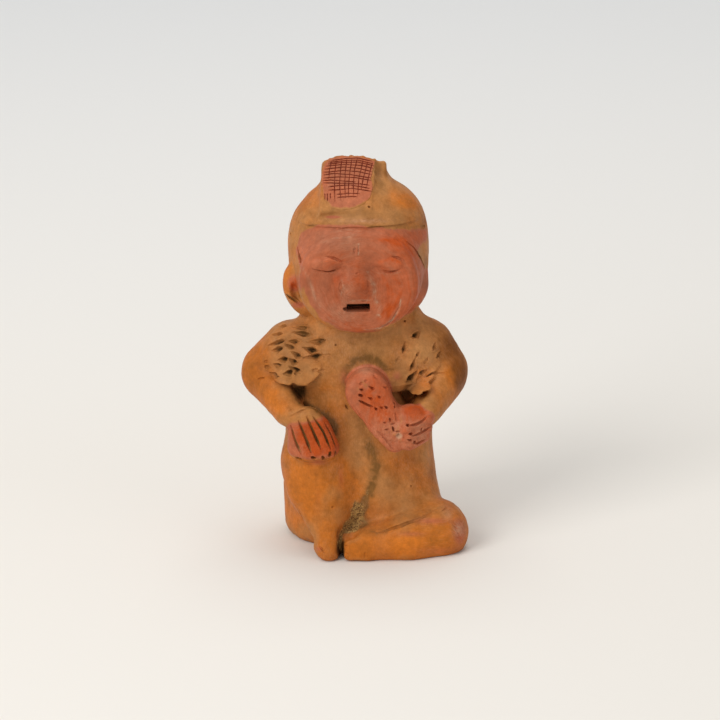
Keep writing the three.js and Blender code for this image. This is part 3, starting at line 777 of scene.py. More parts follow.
# Samples of a form, taken finely only near its surface, then turned into a mesh of quads
def sampled(form, low, high, cell, always):
    band = 2.5  # cells from the surface
    low = np.array(low, float)
    count = np.ceil((np.array(high) - low) / (4 * cell)).astype(int) + 1
    values, stride = None, 4
    while True:
        step = cell * stride
        axes = [low[i] + np.arange(count[i]) * step for i in range(3)]
        if values is None:
            grid = np.meshgrid(*axes, indexing="ij")
            values = measured(form, np.stack([g.ravel() for g in grid], 1)).reshape(count)
        else:
            near = np.abs(values) < band * step
            for lowest, highest in always:
                span = [slice(*np.searchsorted(axes[i], (lowest[i], highest[i]))) for i in range(3)]
                near[tuple(span)] = True
            found = np.argwhere(near)
            values[near] = measured(form, low + found * step)
        if stride == 1:
            return values, low
        for axis in range(3):
            between = np.arange(2 * values.shape[axis] - 1) / 2
            first = np.minimum(between.astype(int), values.shape[axis] - 2)
            share = (between - first).reshape([-1 if i == axis else 1 for i in range(3)])
            values = np.take(values, first, axis) * (1 - share) + np.take(values, first + 1, axis) * share
        count = np.array(values.shape)
        stride //= 2


def skinned(values, low, cell):
    solid = values < 0
    offsets = [(i, j, k) for i in (0, 1) for j in (0, 1) for k in (0, 1)]
    shape = np.array(values.shape) - 1
    part = lambda a, o: a[o[0] : o[0] + shape[0], o[1] : o[1] + shape[1], o[2] : o[2] + shape[2]]
    filled = sum(part(solid, o).astype(np.int8) for o in offsets)
    active = np.argwhere((filled > 0) & (filled < 8))
    number = np.full(shape, -1, np.int32)
    number[tuple(active.T)] = np.arange(len(active))
    corner = [values[tuple((active + o).T)] for o in offsets]
    total, hits = np.zeros((len(active), 3)), np.zeros(len(active))
    for a in range(8):
        for b in range(a + 1, 8):
            along = np.array(offsets[b]) - np.array(offsets[a])
            if np.abs(along).sum() != 1:
                continue
            crosses = (corner[a] < 0) != (corner[b] < 0)
            t = np.where(crosses, corner[a] / np.where(crosses, corner[a] - corner[b], 1), 0)
            total += np.where(crosses[:, None], np.array(offsets[a]) + t[:, None] * along, 0)
            hits += crosses
    points = low + (active + total / hits[:, None]) * cell
    quads = []
    for axis in range(3):
        one, two = (axis + 1) % 3, (axis + 2) % 3
        first, second = [slice(None)] * 3, [slice(None)] * 3
        first[axis], second[axis] = slice(0, -1), slice(1, None)
        here = solid[tuple(first)]
        edges = np.argwhere(here != solid[tuple(second)])
        inner = (edges[:, one] > 0) & (edges[:, two] > 0)
        inner &= (edges[:, one] < values.shape[one] - 1) & (edges[:, two] < values.shape[two] - 1)
        edges = edges[inner]
        ring = []
        for back in ((1, 1), (0, 1), (0, 0), (1, 0)):
            cell4 = edges.copy()
            cell4[:, one] -= back[0]
            cell4[:, two] -= back[1]
            ring.append(number[tuple(cell4.T)])
        ring = np.stack(ring, 1)
        quads.append(np.where(here[tuple(edges.T)][:, None], ring, ring[:, ::-1]))
    return points, np.concatenate(quads)


def meshFrom(name, points, faces):
    mesh = bpy.data.meshes.new(name)
    mesh.vertices.add(len(points))
    mesh.vertices.foreach_set("co", np.asarray(points, np.float32).ravel())
    mesh.loops.add(faces.size)
    mesh.loops.foreach_set("vertex_index", faces.astype(np.int32).ravel())
    mesh.polygons.add(len(faces))
    mesh.polygons.foreach_set("loop_start", np.arange(0, faces.size, faces.shape[1], dtype=np.int32))
    mesh.update(calc_edges=True)
    return mesh


def placeObject(name, mesh):
    made = bpy.data.objects.new(name, mesh)
    bpy.context.scene.collection.objects.link(made)
    return made


def applied(made):
    bpy.context.view_layer.update()
    evaluated = made.evaluated_get(bpy.context.evaluated_depsgraph_get())
    mesh = bpy.data.meshes.new_from_object(evaluated)
    old = made.data
    made.modifiers.clear()
    made.data = mesh
    bpy.data.meshes.remove(old)
    return made


# The slot's thin walls are sampled finely throughout
mouthPlace = ((-6, -32, 99), (9, -17, 108))
roundFigure = ((-48, -40, -2.2), (48, 35, 160))
samples, lowest = sampled(figureForm, *roundFigure, clay["cell"], [mouthPlace])
points, quads = skinned(samples, lowest, clay["cell"])
print("skin sampled:", len(quads), "quads")

skin = placeObject("figurine_skin", meshFrom("figurine_skin", points, quads))
fewer = skin.modifiers.new("fewer", "DECIMATE")
fewer.ratio = min(1.0, clay["triangles"] / (2 * len(quads)))
fewer.use_collapse_triangulate = True
applied(skin)
print("skin thinned:", len(skin.data.polygons), "triangles")

# The points that are left settle on the form again
count = len(skin.data.vertices)
points = np.empty(count * 3, np.float32)
skin.data.vertices.foreach_get("co", points)
points = points.reshape(-1, 3).astype(float)
settling = {"turns": 2, "probe": 0.05, "flattest": 0.2, "furthest": 0.2}
for turn in range(settling["turns"]):
    off = measured(figureForm, points)
    probes = settling["probe"] * np.eye(3)
    slope = np.stack([measured(figureForm, points + step) - off for step in probes], 1) / settling["probe"]
    move = off[:, None] * slope / np.maximum((slope**2).sum(1, keepdims=True), settling["flattest"])
    reach = np.linalg.norm(move, axis=1, keepdims=True)
    points -= move * np.minimum(1, settling["furthest"] / np.maximum(reach, tiny))
points[:, 2] = np.maximum(points[:, 2], 0)
outward = outwardAt(figureForm, points, 0.25)
print("skin settled")


# The pad's skin: a fine sheet traced onto the crest, with the hatching cut into it
def padSheet():
    outwardAxis, acrossAxis = np.array(pad["outward"]), np.array(pad["across"])
    upAxis = np.cross(acrossAxis, outwardAxis) * -1
    startAhead, steps, pace = 4, 40, 0.8
    a, b = np.arange(*pad["wide"], pad["spacing"]), np.arange(*pad["tall"], pad["spacing"])
    gridA, gridB = np.meshgrid(a, b, indexing="ij")
    points = np.array(pad["middle"]) + gridA.reshape(-1, 1) * acrossAxis + gridB.reshape(-1, 1) * upAxis
    points = points + startAhead * outwardAxis
    for step in range(steps):
        points = points - pace * measured(smoothed, points)[:, None] * outwardAxis
    outward = outwardAt(smoothed, points, 0.3)
    inside = padInside(*points.T)
    overTop = 2 * (1.6 + (points - pad["middle"]) @ outwardAxis)
    inside = np.where(gridB.ravel() > pad["top"], np.minimum(inside, overTop), inside)
    depth = np.zeros(len(points))
    x, y, z = points.T.astype(np.float32)
    for mark in hatch:
        side, rise, size = alongMark(mark, x, y, z)
        trough = mark["depth"] * size * np.maximum(0, 1 - (side / (mark["half"] * size)) ** 2) ** 0.7
        depth = np.maximum(depth, trough * (np.abs(rise) < 4))
    edge = ramp(inside, -0.3, 1.2)
    rough = 0.035 * lumps(x, y, z, 0.8) + 0.03 * lumps(x, y, z, 0.35)
    lift = (pad["proud"] + rough - depth) * edge - pad["tucked"] * (1 - edge)
    points = points + lift[:, None] * outward
    wide, tall = len(a), len(b)
    number = np.arange(wide * tall).reshape(wide, tall)
    quads = np.stack([number[:-1, :-1], number[1:, :-1], number[1:, 1:], number[:-1, 1:]], -1).reshape(-1, 4)
    kept = (inside[quads] > -1.5).all(1) & (np.ptp(points[quads], axis=1).max(1) < pad["longest"])
    used = np.unique(quads[kept])
    renumber = np.full(len(points), -1)
    renumber[used] = np.arange(len(used))
    return points[used], renumber[quads[kept]], outward[used], depth[used]


# Painting: shares from 0 to 1 at each point of a skin
def blotches(u, v, *spots):
    total = np.zeros(len(u))
    for centreU, centreV, wide, tall, strength in spots:
        total += strength * np.exp(-(((u - centreU) / wide) ** 2) - ((v - centreV) / tall) ** 2)
    return total


faceRed = [
    (301, 232), (313, 226.5), (336, 224.5), (352, 225), (372, 227.5), (400, 229), (428, 229.5), (429, 238),
    (421, 244), (418, 252), (421, 262), (428, 271), (431, 285), (422, 303), (412, 312), (404, 317),
    (395, 322), (386, 327), (374, 331), (360, 333.5), (345, 331.5), (334, 327), (322, 319), (313, 308),
    (308, 297), (303, 284), (300, 272), (299, 263), (297, 250), (299, 240),
]
# Spots of paint: the pixel of the middle, how wide and tall in pixels, and the strength
# Painted shade in the hollows inside the elbows and in the gap between the feet
pocketShade = (
    (299, 390, 8, 5, 1.3), (299, 397, 3.5, 5, 0.8), (407, 393, 7, 5, 0.8), (404, 400, 4, 4, 0.3),
    (340, 548, 4.5, 9, 1.2),
)
straySlip = (
    (296, 283, 8, 8, 1.2), (298, 305, 8, 3.5, 0.8), (341, 478, 4, 18, 0.3), (318, 462, 12, 4, 0.5),
    (318, 549, 4, 3, 0.5), (333, 217, 7, 1.4, 1.2), (397, 376, 5, 6, 0.55), (343, 377, 4, 9, 0.45),
    (460, 533, 7, 14, 0.75), (432, 521, 22, 4, 0.5), (412, 534, 18, 3.5, 0.4), (440, 551, 24, 5, 0.35),
    (448, 508, 9, 7, 0.3), (318, 500, 4, 18, 0.2),
)
bareSpots = (
    (357.5, 391, 2.5, 6, 0.7), (366, 386, 3, 4, 0.6), (374.5, 393, 3, 4, 0.5), (363, 382, 4, 3, 0.5),
    (389, 432, 7, 9, 0.6), (378, 424, 12, 9, 0.35), (395, 446, 8, 6, 0.4), (326, 262, 11, 4, 0.45),
    (391, 262, 11, 4, 0.35), (388, 412, 5, 8, 0.4), (352, 290, 5, 6, 0.3), (355, 273, 4, 4, 0.4),
    (400, 250, 10, 6, 0.25), (390, 300, 5, 14, 0.2),
)
vividSpots = (
    (398, 243, 18, 8, 0.2), (405, 285, 10, 20, 0.1), (390, 308, 6, 12, 0.12), (360, 286, 6, 7, 0.12),
    (345, 316, 26, 12, -0.3), (388, 262, 12, 6, 0.1), (336, 278, 6, 5, 0.3), (362, 331, 24, 3, 0.1),
    (417, 411.5, 6, 5, 0.6), (341, 478, 5, 18, 0.6), (448, 525, 14, 20, 0.3), (290, 290, 8, 12, 0.3),
    (318, 438, 18, 16, 0.7), (372, 392, 14, 14, 0.35), (386, 414, 8, 8, 0.2), (380, 436, 14, 12, -0.4),
    (405, 446, 12, 8, -0.3), (413, 411, 10, 5, 0.4), (345, 178, 30, 22, -0.4), (345, 203, 16, 6, -0.2),
    (320, 240, 22, 14, -0.3), (352, 240, 16, 14, -0.25), (318, 300, 12, 16, -0.3), (366, 371, 10, 5, -0.4),
    (300, 300, 6, 6, -0.2),
)
# Pale dust, scuffs and specks, with painted highlights over the upper lip and on the folded knee
dustAndHighlightSpots = (
    (320, 238, 20, 12, 0.12), (350, 246, 14, 16, 0.2), (345, 292, 7, 12, 0.3), (374, 288, 7, 14, 0.12),
    (312, 292, 6, 14, 0.1), (340, 312, 18, 10, 0.15), (379, 315.5, 2, 1.6, 0.8), (358, 303, 12, 3, 0.2),
    (366, 370, 12, 5, 0.4), (399, 436, 2.5, 2.5, 1.0), (420, 430, 12, 14, 0.25), (398, 425, 6, 10, 0.2),
    (448, 515, 6, 7, 0.35), (458, 530, 6, 7, 0.35), (300, 449, 8, 8, 0.25), (365, 221, 34, 3, 0.35),
)
warmSpots = (
    (286, 284, 4, 11, 0.4), (252, 372, 18, 26, 0.6), (270, 400, 20, 14, 0.45), (455, 375, 14, 26, 0.3),
    (445, 398, 16, 14, 0.05), (300, 490, 26, 30, 0.6), (345, 480, 16, 30, 0.3), (405, 545, 40, 14, 0.6),
    (360, 550, 16, 12, 0.5), (455, 535, 16, 18, 0.5), (405, 203, 14, 9, 0.3), (303, 205, 10, 16, 0.1),
    (330, 540, 14, 16, 0.3), (355, 345, 40, 24, -0.4), (290, 355, 26, 26, -0.3), (420, 355, 26, 26, -0.3),
    (345, 214, 34, 8, -0.4), (362, 440, 16, 24, -0.3), (382, 175, 7, 16, -0.6),
)
# Grime and stains, with painted shade under the chin, round the rattle, under the left forearm, by the ear
# and down the tuft's right flank
grimeAndShadeSpots = (
    (300, 296, 4, 4, 0.3), (366, 354, 24, 9, 0.15), (398, 368, 6, 12, 0.35), (344, 385, 6, 14, 0.2),
    (356, 420, 14, 10, 0.3), (358, 525, 14, 12, 0.4), (373, 470, 9, 24, 0.15), (352, 337, 34, 7, 0.2),
    (345, 508, 8, 10, 0.25), (305, 332, 8, 5, 0.25), (384, 180, 5, 14, 0.2), (320, 402, 14, 10, 0.2),
    (446, 413, 8, 6, 0.15), (334, 428, 6, 14, 0.35), (356, 352, 44, 14, 0.12),
)
# Painted shade, mostly on the sides turned from the light: the right arm, shoulder, flap and torso's edge,
# the right temple and ear, the tuft's right flank, and by the hand, rattle, left pocket and foot
umberAndShadeSpots = (
    (452, 345, 14, 24, 0.7), (462, 378, 9, 22, 0.8), (430, 325, 16, 8, 0.35), (432, 470, 5, 34, 0.35),
    (424, 222, 5, 14, 0.45), (426, 262, 4, 12, 0.3), (412, 366, 20, 20, 0.25), (340, 545, 8, 12, 0.3),
    (346, 425, 12, 18, 0.25), (376, 425, 8, 16, 0.2), (300, 400, 14, 6, 0.2), (386, 172, 3, 12, 0.5),
    (340, 158, 24, 3, 0.35), (325, 180, 4, 20, 0.3),
)
# Lines in the paint: the width, the strength and the pixels of the path
# Grime and painted shade along creases: under the cap's brim, under the left forearm, between the thighs,
# round the rattle's top, in the temple's groove and the ear's fold, along the fold of the legs, over the lids
# and in the eye slits, in the brow's mark and under the nose
grimeAndShadeLines = (
    (1.3, 0.35, 304, 228, 310, 225, 335, 223.5, 353, 223.5, 370, 226, 385, 227.5, 405, 228, 425, 225.5),
    (3.0, 0.45, 293, 394, 300, 403, 313, 408, 328, 418, 334, 426),
    (5.6, 0.6, 367, 442, 372, 453, 376, 466, 374, 481, 369, 495, 361, 510),
    (3.6, 0.45, 346, 380, 347, 368, 355, 360, 366, 357.5, 378, 361, 387, 370),
    (1.2, 0.9, 407, 241.5, 414, 247, 418.5, 255, 423, 267),
    (0.9, 0.7, 287, 294.5, 292, 298.5, 300, 304),
    (4.0, 0.25, 372, 533, 388, 531, 404, 525, 420, 518, 437, 509),
    (0.9, 0.5, 326, 257, 336, 260, 343, 261.5),
    (0.9, 0.6, 392, 256.5, 399, 258, 404, 261),
    (1.0, 1.0, 323, 270.4, 330, 271, 336, 269.6),
    (1.6, 0.6, 355, 247.5, 355, 254.5),
    (1.4, 0.3, 345, 296.5, 356, 298, 366, 295),
)
# Pale dust and scratches along the face's ridges, with a painted highlight on the ridge over the upper lip
dustAndHighlightLines = (
    (2.0, 0.32, 303, 268, 309, 281, 314, 293, 319, 306),
    (0.9, 0.5, 401, 299, 399, 310, 392, 320, 380, 328, 366, 330),
    (2.6, 0.26, 368, 272, 374, 285, 376, 300, 381, 311),
    (0.6, 0.4, 358.6, 244, 358.6, 255),
    (0.9, 0.14, 330, 232, 350, 229.5, 372, 232, 392, 236),
    (0.9, 0.14, 318, 244, 335, 238, 352, 236.5),
    (0.9, 0.2, 341, 279, 344, 288, 341, 294),
    (0.8, 0.35, 352, 300.8, 362, 299.8, 369, 300.6),
    (0.8, 0.25, 378, 273, 390, 275, 400, 272),
    (0.8, 0.25, 312, 272, 326, 274, 337, 272),
)
vividLines = (
    (2.6, 0.22, 382, 276, 390, 290, 388, 306, 380, 318),
    (2.2, 0.25, 396, 276, 402, 288, 398, 302, 388, 316),
    (2.4, 0.2, 376, 240, 392, 240, 406, 246, 413, 256),
    (1.6, 0.15, 320, 259, 326, 261, 334, 262),
    (1.8, 0.2, 380, 262, 390, 259, 400, 262),
)
sandSpots = ((358, 512, 7, 11, 1.0), (350, 527, 10, 9, 1.0), (367, 494, 3, 9, 0.6), (340, 541, 3.5, 8, 0.8))
# Painted light and shade: darker below zero and lighter above
shadeSpots = (
    (318, 236, 18, 12, -0.15), (350, 240, 18, 12, -0.1), (362, 218, 40, 7, -0.15), (330, 290, 14, 20, -0.1),
    (372, 448, 12, 20, 0.15), (370, 490, 10, 24, 0.2), (425, 470, 12, 34, 0.22), (428, 372, 16, 14, 0.35),
    (412, 345, 20, 16, 0.3), (300, 285, 8, 12, -0.15), (426, 284, 5, 14, -0.2), (412, 410, 12, 8, -0.1),
    (304, 432, 14, 12, -0.12), (256, 372, 14, 24, -0.25), (366, 372, 14, 8, 0.2), (358, 325, 30, 6, -0.05),
    (360, 272, 46, 34, -0.1), (359, 288, 6, 7, -0.12), (412, 386, 8, 6, -0.35), (415, 545, 40, 14, 0.2),
    (408, 380, 12, 10, -0.15), (346, 170, 26, 16, -0.12), (346, 350, 30, 12, 0.08),
    (285, 350, 26, 26, -0.12), (420, 175, 30, 30, 0.1), (386, 176, 6, 14, 0.25), (458, 362, 12, 30, 0.06),
    (350, 512, 12, 16, 0.15), (350, 314, 30, 12, -0.06), (320, 262, 14, 6, 0.15), (392, 264, 14, 6, 0.2),
    (290, 172, 30, 20, -0.1), (300, 205, 12, 16, -0.1),
)


def lines(u, v, wander, *drawn):
    total = np.zeros(len(u))
    for wide, strength, *path in drawn:
        total += strength * np.exp(-((fromPath(pairs(path), u, v) / wide) ** 2)) * (1 + wander)
    return total


# What each paint's share is at points of the clay, and how the strokes run there
def paintsAt(points, outward):
    x, y, z = np.asarray(points, np.float32).T
    u, v = pixelOf(x, y, z)
    seen = ramp(-(outward @ ahead), -0.1, 0.25)
    sideways = ramp(-(outward @ ahead), -0.45, 0.3)
    broad, middling, fine = lumps(x, y, z, 9), lumps(x, y, z, 3.2), lumps(x, y, z, 1.1)

    # How sheltered a point is, from the free space 2 and 8 mm out, and how deep it lies in a mark
    open2, open8 = (measured(hands, points + outward * far) / far for far in (2.0, 8.0))
    hidden = np.clip(1 - 0.5 * (np.clip(open2, 0, 1) + np.clip(open8, 0, 1)), 0, 1)
    buried = np.maximum(-measured(smoothed, points), 0)

    # Red slip, with edges that wobble as a brush does
    wobble = 1.6 * middling + 0.8 * fine
    faceSlip = ramp(insideOutline(faceRed, u, v) + wobble, -1.2, 1.6) * ramp(y, 2, -5) * ramp(z, 88, 91)
    padSlip = ramp(padInside(x, y, z) + 0.5 * wobble, 0.3, 2.4)
    padSlip *= np.where(v > 200, ramp(padInside(x, y, z) + wobble, 0, 5), 1)
    handSlip = ramp(mitten(x, y, z), 1.0, 0.2) * ramp(z + 0.8 * middling - 0.2 * (x + 24), 57.5, 55.5)
    handSlip *= ramp(z + 0.9 * middling, 41.8, 44)
    rattleSlip = np.maximum(ramp(rattle(x, y, z), 1.2, 0.3), ramp(fist(x, y, z), 0.9, 0.2))
    stray = blotches(u, v, *straySlip)
    slip = np.maximum.reduce([faceSlip, padSlip, handSlip, rattleSlip]) + stray * seen

    # Old dirt and painted shade in the marks, darker the deeper they go, less in rubbed slip; painted shade
    # where the clay is sheltered, in the hollows inside the elbows and between the feet; and a painted black
    # shadow on the roof and back of the mouth's slot
    onFlap = ramp(flapEdge(x, y, z), 1.5, 0) * ramp(z, 67, 70)
    dirtAndShade = 0.8 * ramp(buried, 0.45, 1.3) * (1 - onFlap) * (1 - 0.45 * rattleSlip - 0.6 * handSlip)
    dirtAndShade += 0.75 * ramp(buried, 0.75, 1.4) * onFlap
    dirtAndShade += 0.3 * ramp(hidden, 0.55, 1)
    dirtAndShade += blotches(u, v, *pocketShade) * seen
    # Painted shadow: black on the slot's roof and back wall, lighter on its floor
    inMouth = (z > 100) & (z < 107) & (np.abs(x - 1) < 7) & (y > -26.2) & (y < -14)
    dirtAndShade = np.where(inMouth, np.where(outward[:, 2] > 0.5, 0.25, 1.6), dirtAndShade)
    sandPlace = blotches(u, v, *sandSpots) * seen
    # Grime and painted shade from the spots and lines
    paintedGrimeAndShade = blotches(u, v, *grimeAndShadeSpots) * (1 + 0.55 * middling + 0.35 * fine)
    paintedGrimeAndShade += lines(u, v, 0.6 * fine, *grimeAndShadeLines)
    # Painted shade deep in the flaps' gouges, and dirt rubbed into the fingers' grooves
    rubbedInAndShade = (0.2 * onFlap + 0.5 * handSlip) * ramp(buried, 0.3, 1.2)
    worn = blotches(u, v, *bareSpots) * ramp(middling + fine, -0.5, 0.4) + handSlip * ramp(buried, 0.35, 0.8)
    vivid = blotches(u, v, *vividSpots) + lines(u, v, 0.5 * middling, *vividLines) * seen
    # Pale dust and scuffs, and painted highlights
    dustAndHighlight = (blotches(u, v, *dustAndHighlightSpots) + lines(u, v, 0.7 * fine, *dustAndHighlightLines)) * seen

    # Burnishing strokes run along the forms: round the face, down from the crest, along the arms and legs
    turnings = (
        (1.0, 109.0, ramp(faceSlip, 0.2, 0.8)),
        (1.0, 152.0, ramp(z, 128, 134) * (1 - faceSlip)),
        (-19.0, 66.0, ramp(-x, 18, 24) * ramp(z, 52, 58) * ramp(z, 92, 86)),
        (19.0, 64.0, ramp(x, 18, 24) * ramp(z, 52, 58) * ramp(z, 92, 86)),
        (24.0, -40.0, ramp(x, 2, 12) * ramp(z, 22, 14)),
    )
    left = np.ones(len(x))
    strokes = np.zeros((len(x), 3))
    for centreX, centreZ, weight in turnings:
        r = np.sqrt((x - centreX) ** 2 + (z - centreZ) ** 2) + 1e-3
        wander = 2.2 * broad + 0.7 * middling
        share = (left * weight)[:, None]
        strokes += share * np.stack([r + wander, y * 0.6, 3 * (x - centreX) / r], 1)
        left = left * (1 - weight)
    strokes += left[:, None] * np.stack([x + broad, y + 0.6 * middling, 0.3 * z], 1)
    return {
        "slip": slip - worn,
        "vivid": 0.4 + 0.25 * broad + vivid,
        "dustAndHighlight": 0.12 + 0.16 * broad + dustAndHighlight,
        "warm": 0.45 + 0.3 * broad + 0.1 * middling + blotches(u, v, *warmSpots) * seen,
        "dirtAndShade": dirtAndShade,
        # Umber tone at random, and painted shade on the sides turned from the light
        "umberAndShade": 0.06 + 0.14 * broad + blotches(u, v, *umberAndShadeSpots) * sideways,
        # Painted shade where the clay is sheltered, grime and painted shade from the spots and lines, and in
        # the gouges and grooves
        "grimeAndShade": 0.1 + 0.12 * broad + 0.3 * ramp(hidden, 0.35, 0.9) + paintedGrimeAndShade * seen + rubbedInAndShade,
        "shade": 0.53 + 0.06 * middling + blotches(u, v, *shadeSpots) * seen,
        "sand": ramp(sandPlace + 0.25 * middling + 0.2 * fine, 0.35, 0.8),
        "hatch": np.zeros(len(x)),
    }, strokes


def dressSkin(made, points, outward, extra=None):
    shares, strokes = paintsAt(points, outward)
    shares.update(extra or {})
    made.data.vertices.foreach_set("co", inFrame(points).astype(np.float32).ravel())
    for name, share in shares.items():
        layer = made.data.attributes.new(name, "FLOAT", "POINT")
        layer.data.foreach_set("value", np.clip(share, 0, 1).astype(np.float32))
    layer = made.data.attributes.new("strokes", "FLOAT_VECTOR", "POINT")
    layer.data.foreach_set("vector", strokes.astype(np.float32).ravel())
    made.data.shade_smooth()
    made.data.update()


dressSkin(skin, points, outward)
padPoints, padQuads, padOutward, padDepth = padSheet()
padSkin = placeObject("painted_pad", meshFrom("painted_pad", padPoints, padQuads))
# The hatch trenches are coloured darker with their depth: painted shade
dressSkin(padSkin, padPoints, padOutward, {"hatch": ramp(padDepth, 0.04, 0.22)})
print("skins painted")


# Colours are sRGB hex and turned to linear here
def linear(hexColour):
    parts = [int(hexColour[i : i + 2], 16) / 255 for i in (1, 3, 5)]
    return [c / 12.92 if c <= 0.04045 else ((c + 0.055) / 1.055) ** 2.4 for c in parts] + [1.0]


def addNode(tree, kind, inputs=None, out=0, **settings):
    node = tree.nodes.new(kind)
    for name, value in settings.items():
        setattr(node, name, value)
    for socket, value in (inputs or {}).items():
        if isinstance(value, bpy.types.NodeSocket):
            tree.links.new(value, node.inputs[socket])
        else:
            node.inputs[socket].default_value = value
    return node.outputs[out] if node.outputs else node


# Low-fired earthenware, burnished with a smooth stone before firing: a soft sheen on the crowns of the forms,
# matt and dusty in the hollows, with thin red iron slip rubbed away where it was handled.
# The dirt, grime, umber, dust and hatch line colours also carry painted shade and painted highlights
terracotta = {
    "dull": "#ad7643",
    "burnished": "#ba6820",
    "smoke": "#80501e",
    "umberAndShade": "#7a430f",
    "slipPale": "#ae6343",
    "slipDeep": "#b34a17",
    "hatchLine": "#6b2410",
    "dustAndHighlight": "#b98a6c",
    "grimeAndShade": "#764f24",
    "dirtAndShade": "#33210c",
    "sandPale": "#b58a50",
    "sandDark": "#664626",
    "mottle": 7.0,  # mm
    "streak": 1.1,  # mm across a burnishing stroke
    "patch": 3.2,  # mm, rubbed and unrubbed slip
    "weather": 2.2,  # mm, light and dark in the worn surface
    "weatherRange": (0.8, 1.18),
    "scratch": 0.42,  # mm across the finest scratches of the burnishing stone
    "scratchRange": (0.95, 1.05),
    "shadeRange": (0.45, 1.55),
    "grain": 0.35,  # mm, coarser than the real temper so that it shows
    "speck": 0.55,  # mm, a grain of the stuck sand
    "roughness": 0.5,
    "sheen": 0.12,
    "relief": 0.6,
    "reliefDepth": 0.00025,  # metres
}
# The noise of each of its scales: what it runs along, its detail, roughness and distortion
noises = {
    "mottle": ("mm", 5.0, 0.6, 0.0),
    "streak": ("strokes", 4.0, 0.5, 0.0),
    "grain": ("mm", 2.0, 0.5, 0.0),
    "patch": ("strokes", 6.0, 0.68, 0.6),
    "weather": ("mm", 7.0, 0.72, 0.0),
    "scratch": ("strokes", 3.0, 0.6, 0.0),
}
# Each layer over the dull clay: its colour, the paint that places it, what breaks it up and how strongly, and
# the two values between which it goes from none to full
layers = (
    ("burnished", "warm", "mottle", 1.1, 0.55, 1.25),
    ("smoke", None, "mottle", 1.0, 0.5, 1.1),
    ("umberAndShade", "umberAndShade", "mottle", 0.9, 0.5, 1.2),
    ("grimeAndShade", "grimeAndShade", "mottle", 0.9, 0.5, 1.15),
    ("slipPale", "slip", "grain", 0.5, 0.25, 0.75),
    ("slipDeep", "vividSlip", "patch", 1.6, 0.85, 1.45),
    ("dustAndHighlight", "dustAndHighlight", "scratch", 1.3, 0.7, 1.4),
    ("hatchLine", "hatch", "grain", 1.2, 0.6, 1.5),
    ("dirtAndShade", "dirtAndShade", "mottle", 0.8, 0.45, 1.5),
    ("sand", "sand", "grain", 0.8, 0.5, 0.9),
)


def terracottaMaterial(name, look):
    material = bpy.data.materials.new(name)
    material.use_nodes = True
    tree = material.node_tree
    tree.nodes.clear()

    def maths(kind, *values, **settings):
        return addNode(tree, "ShaderNodeMath", dict(enumerate(values)), operation=kind, **settings)

    def mixed(amount, under, over):
        return addNode(tree, "ShaderNodeMix", {0: amount, 6: under, 7: over}, 2, data_type="RGBA")

    place = addNode(tree, "ShaderNodeTexCoord", out=3)
    source = {
        "mm": addNode(tree, "ShaderNodeVectorMath", {0: place, 3: 1 / metre}, operation="SCALE"),
        "strokes": addNode(tree, "ShaderNodeAttribute", out=1, attribute_name="strokes"),
    }
    pattern = {}
    for label, (along, detail, rough, bend) in noises.items():
        inputs = {"Vector": source[along], "Scale": 1 / look[label], "Detail": detail, "Roughness": rough}
        pattern[label] = addNode(tree, "ShaderNodeTexNoise", {**inputs, "Distortion": bend})
    speck = addNode(tree, "ShaderNodeTexVoronoi", {"Vector": source["mm"], "Scale": 1 / look["speck"]}, out=1)
    speckShade = addNode(tree, "ShaderNodeSeparateColor", {0: speck})
    paints = ["slip", "vivid", "dustAndHighlight", "warm", "umberAndShade", "dirtAndShade", "grimeAndShade", "sand", "hatch", "shade"]
    share = {paint: addNode(tree, "ShaderNodeAttribute", out=2, attribute_name=paint) for paint in paints}
    share["vividSlip"] = maths("MULTIPLY", share["slip"], share["vivid"])
    colour = linear(look["dull"])
    for layer, paint, breaker, strength, low, high in layers:
        broken = maths("MULTIPLY", pattern[breaker], strength)
        if paint:
            broken = maths("ADD", share[paint], broken)
        amount = addNode(tree, "ShaderNodeMapRange", {0: broken, 1: low, 2: high})
        if paint:
            amount = maths("MULTIPLY", amount, maths("MULTIPLY", share[paint], 1.6, use_clamp=True))
        if layer == "sand":
            over = mixed(speckShade, linear(look["sandDark"]), linear(look["sandPale"]))
        else:
            over = linear(look[layer])
        colour = mixed(amount, colour, over)

    for tone, low, high, (least, most) in (
        (pattern["weather"], 0.3, 0.7, look["weatherRange"]),
        (pattern["scratch"], 0.3, 0.7, look["scratchRange"]),
        (share["shade"], 0, 1, look["shadeRange"]),
    ):
        tone = addNode(tree, "ShaderNodeMapRange", {0: tone, 1: low, 2: high, 3: least, 4: most})
        colour = addNode(tree, "ShaderNodeVectorMath", {0: colour, 3: tone}, operation="SCALE")
    rough = maths("MULTIPLY_ADD", pattern["mottle"], 0.25, maths("MULTIPLY", share["dirtAndShade"], 0.35))
    rough = maths("ADD", rough, look["roughness"] - 0.12, use_clamp=True)
    height = maths("MULTIPLY_ADD", pattern["streak"], 0.4, pattern["weather"])
    height = maths("MULTIPLY_ADD", pattern["grain"], 0.4, height)
    bumpInputs = {"Strength": look["relief"], "Distance": look["reliefDepth"], "Height": height}
    surfaceInputs = {
        "Base Color": colour,
        "Roughness": rough,
        "Normal": addNode(tree, "ShaderNodeBump", bumpInputs),
        "IOR": 1.5,
        "Specular IOR Level": look["sheen"],
    }
    addNode(tree, "ShaderNodeOutputMaterial", {0: addNode(tree, "ShaderNodeBsdfPrincipled", surfaceInputs)})
    return material


clayMaterial = terracottaMaterial("burnished terracotta", terracotta)
for piece in (skin, padSkin):
    piece.data.materials.clear()
    piece.data.materials.append(clayMaterial)
    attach(piece, "root")
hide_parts("figure")

# Grains of sand that still stick where the thighs meet
sand = {"perSquareMetre": 3.4e6, "least": 0.00011, "most": 0.0003, "seed": 5}
sandyFrom = 0.35  # the share of sand from which clay carries grains
grainFaces = 20


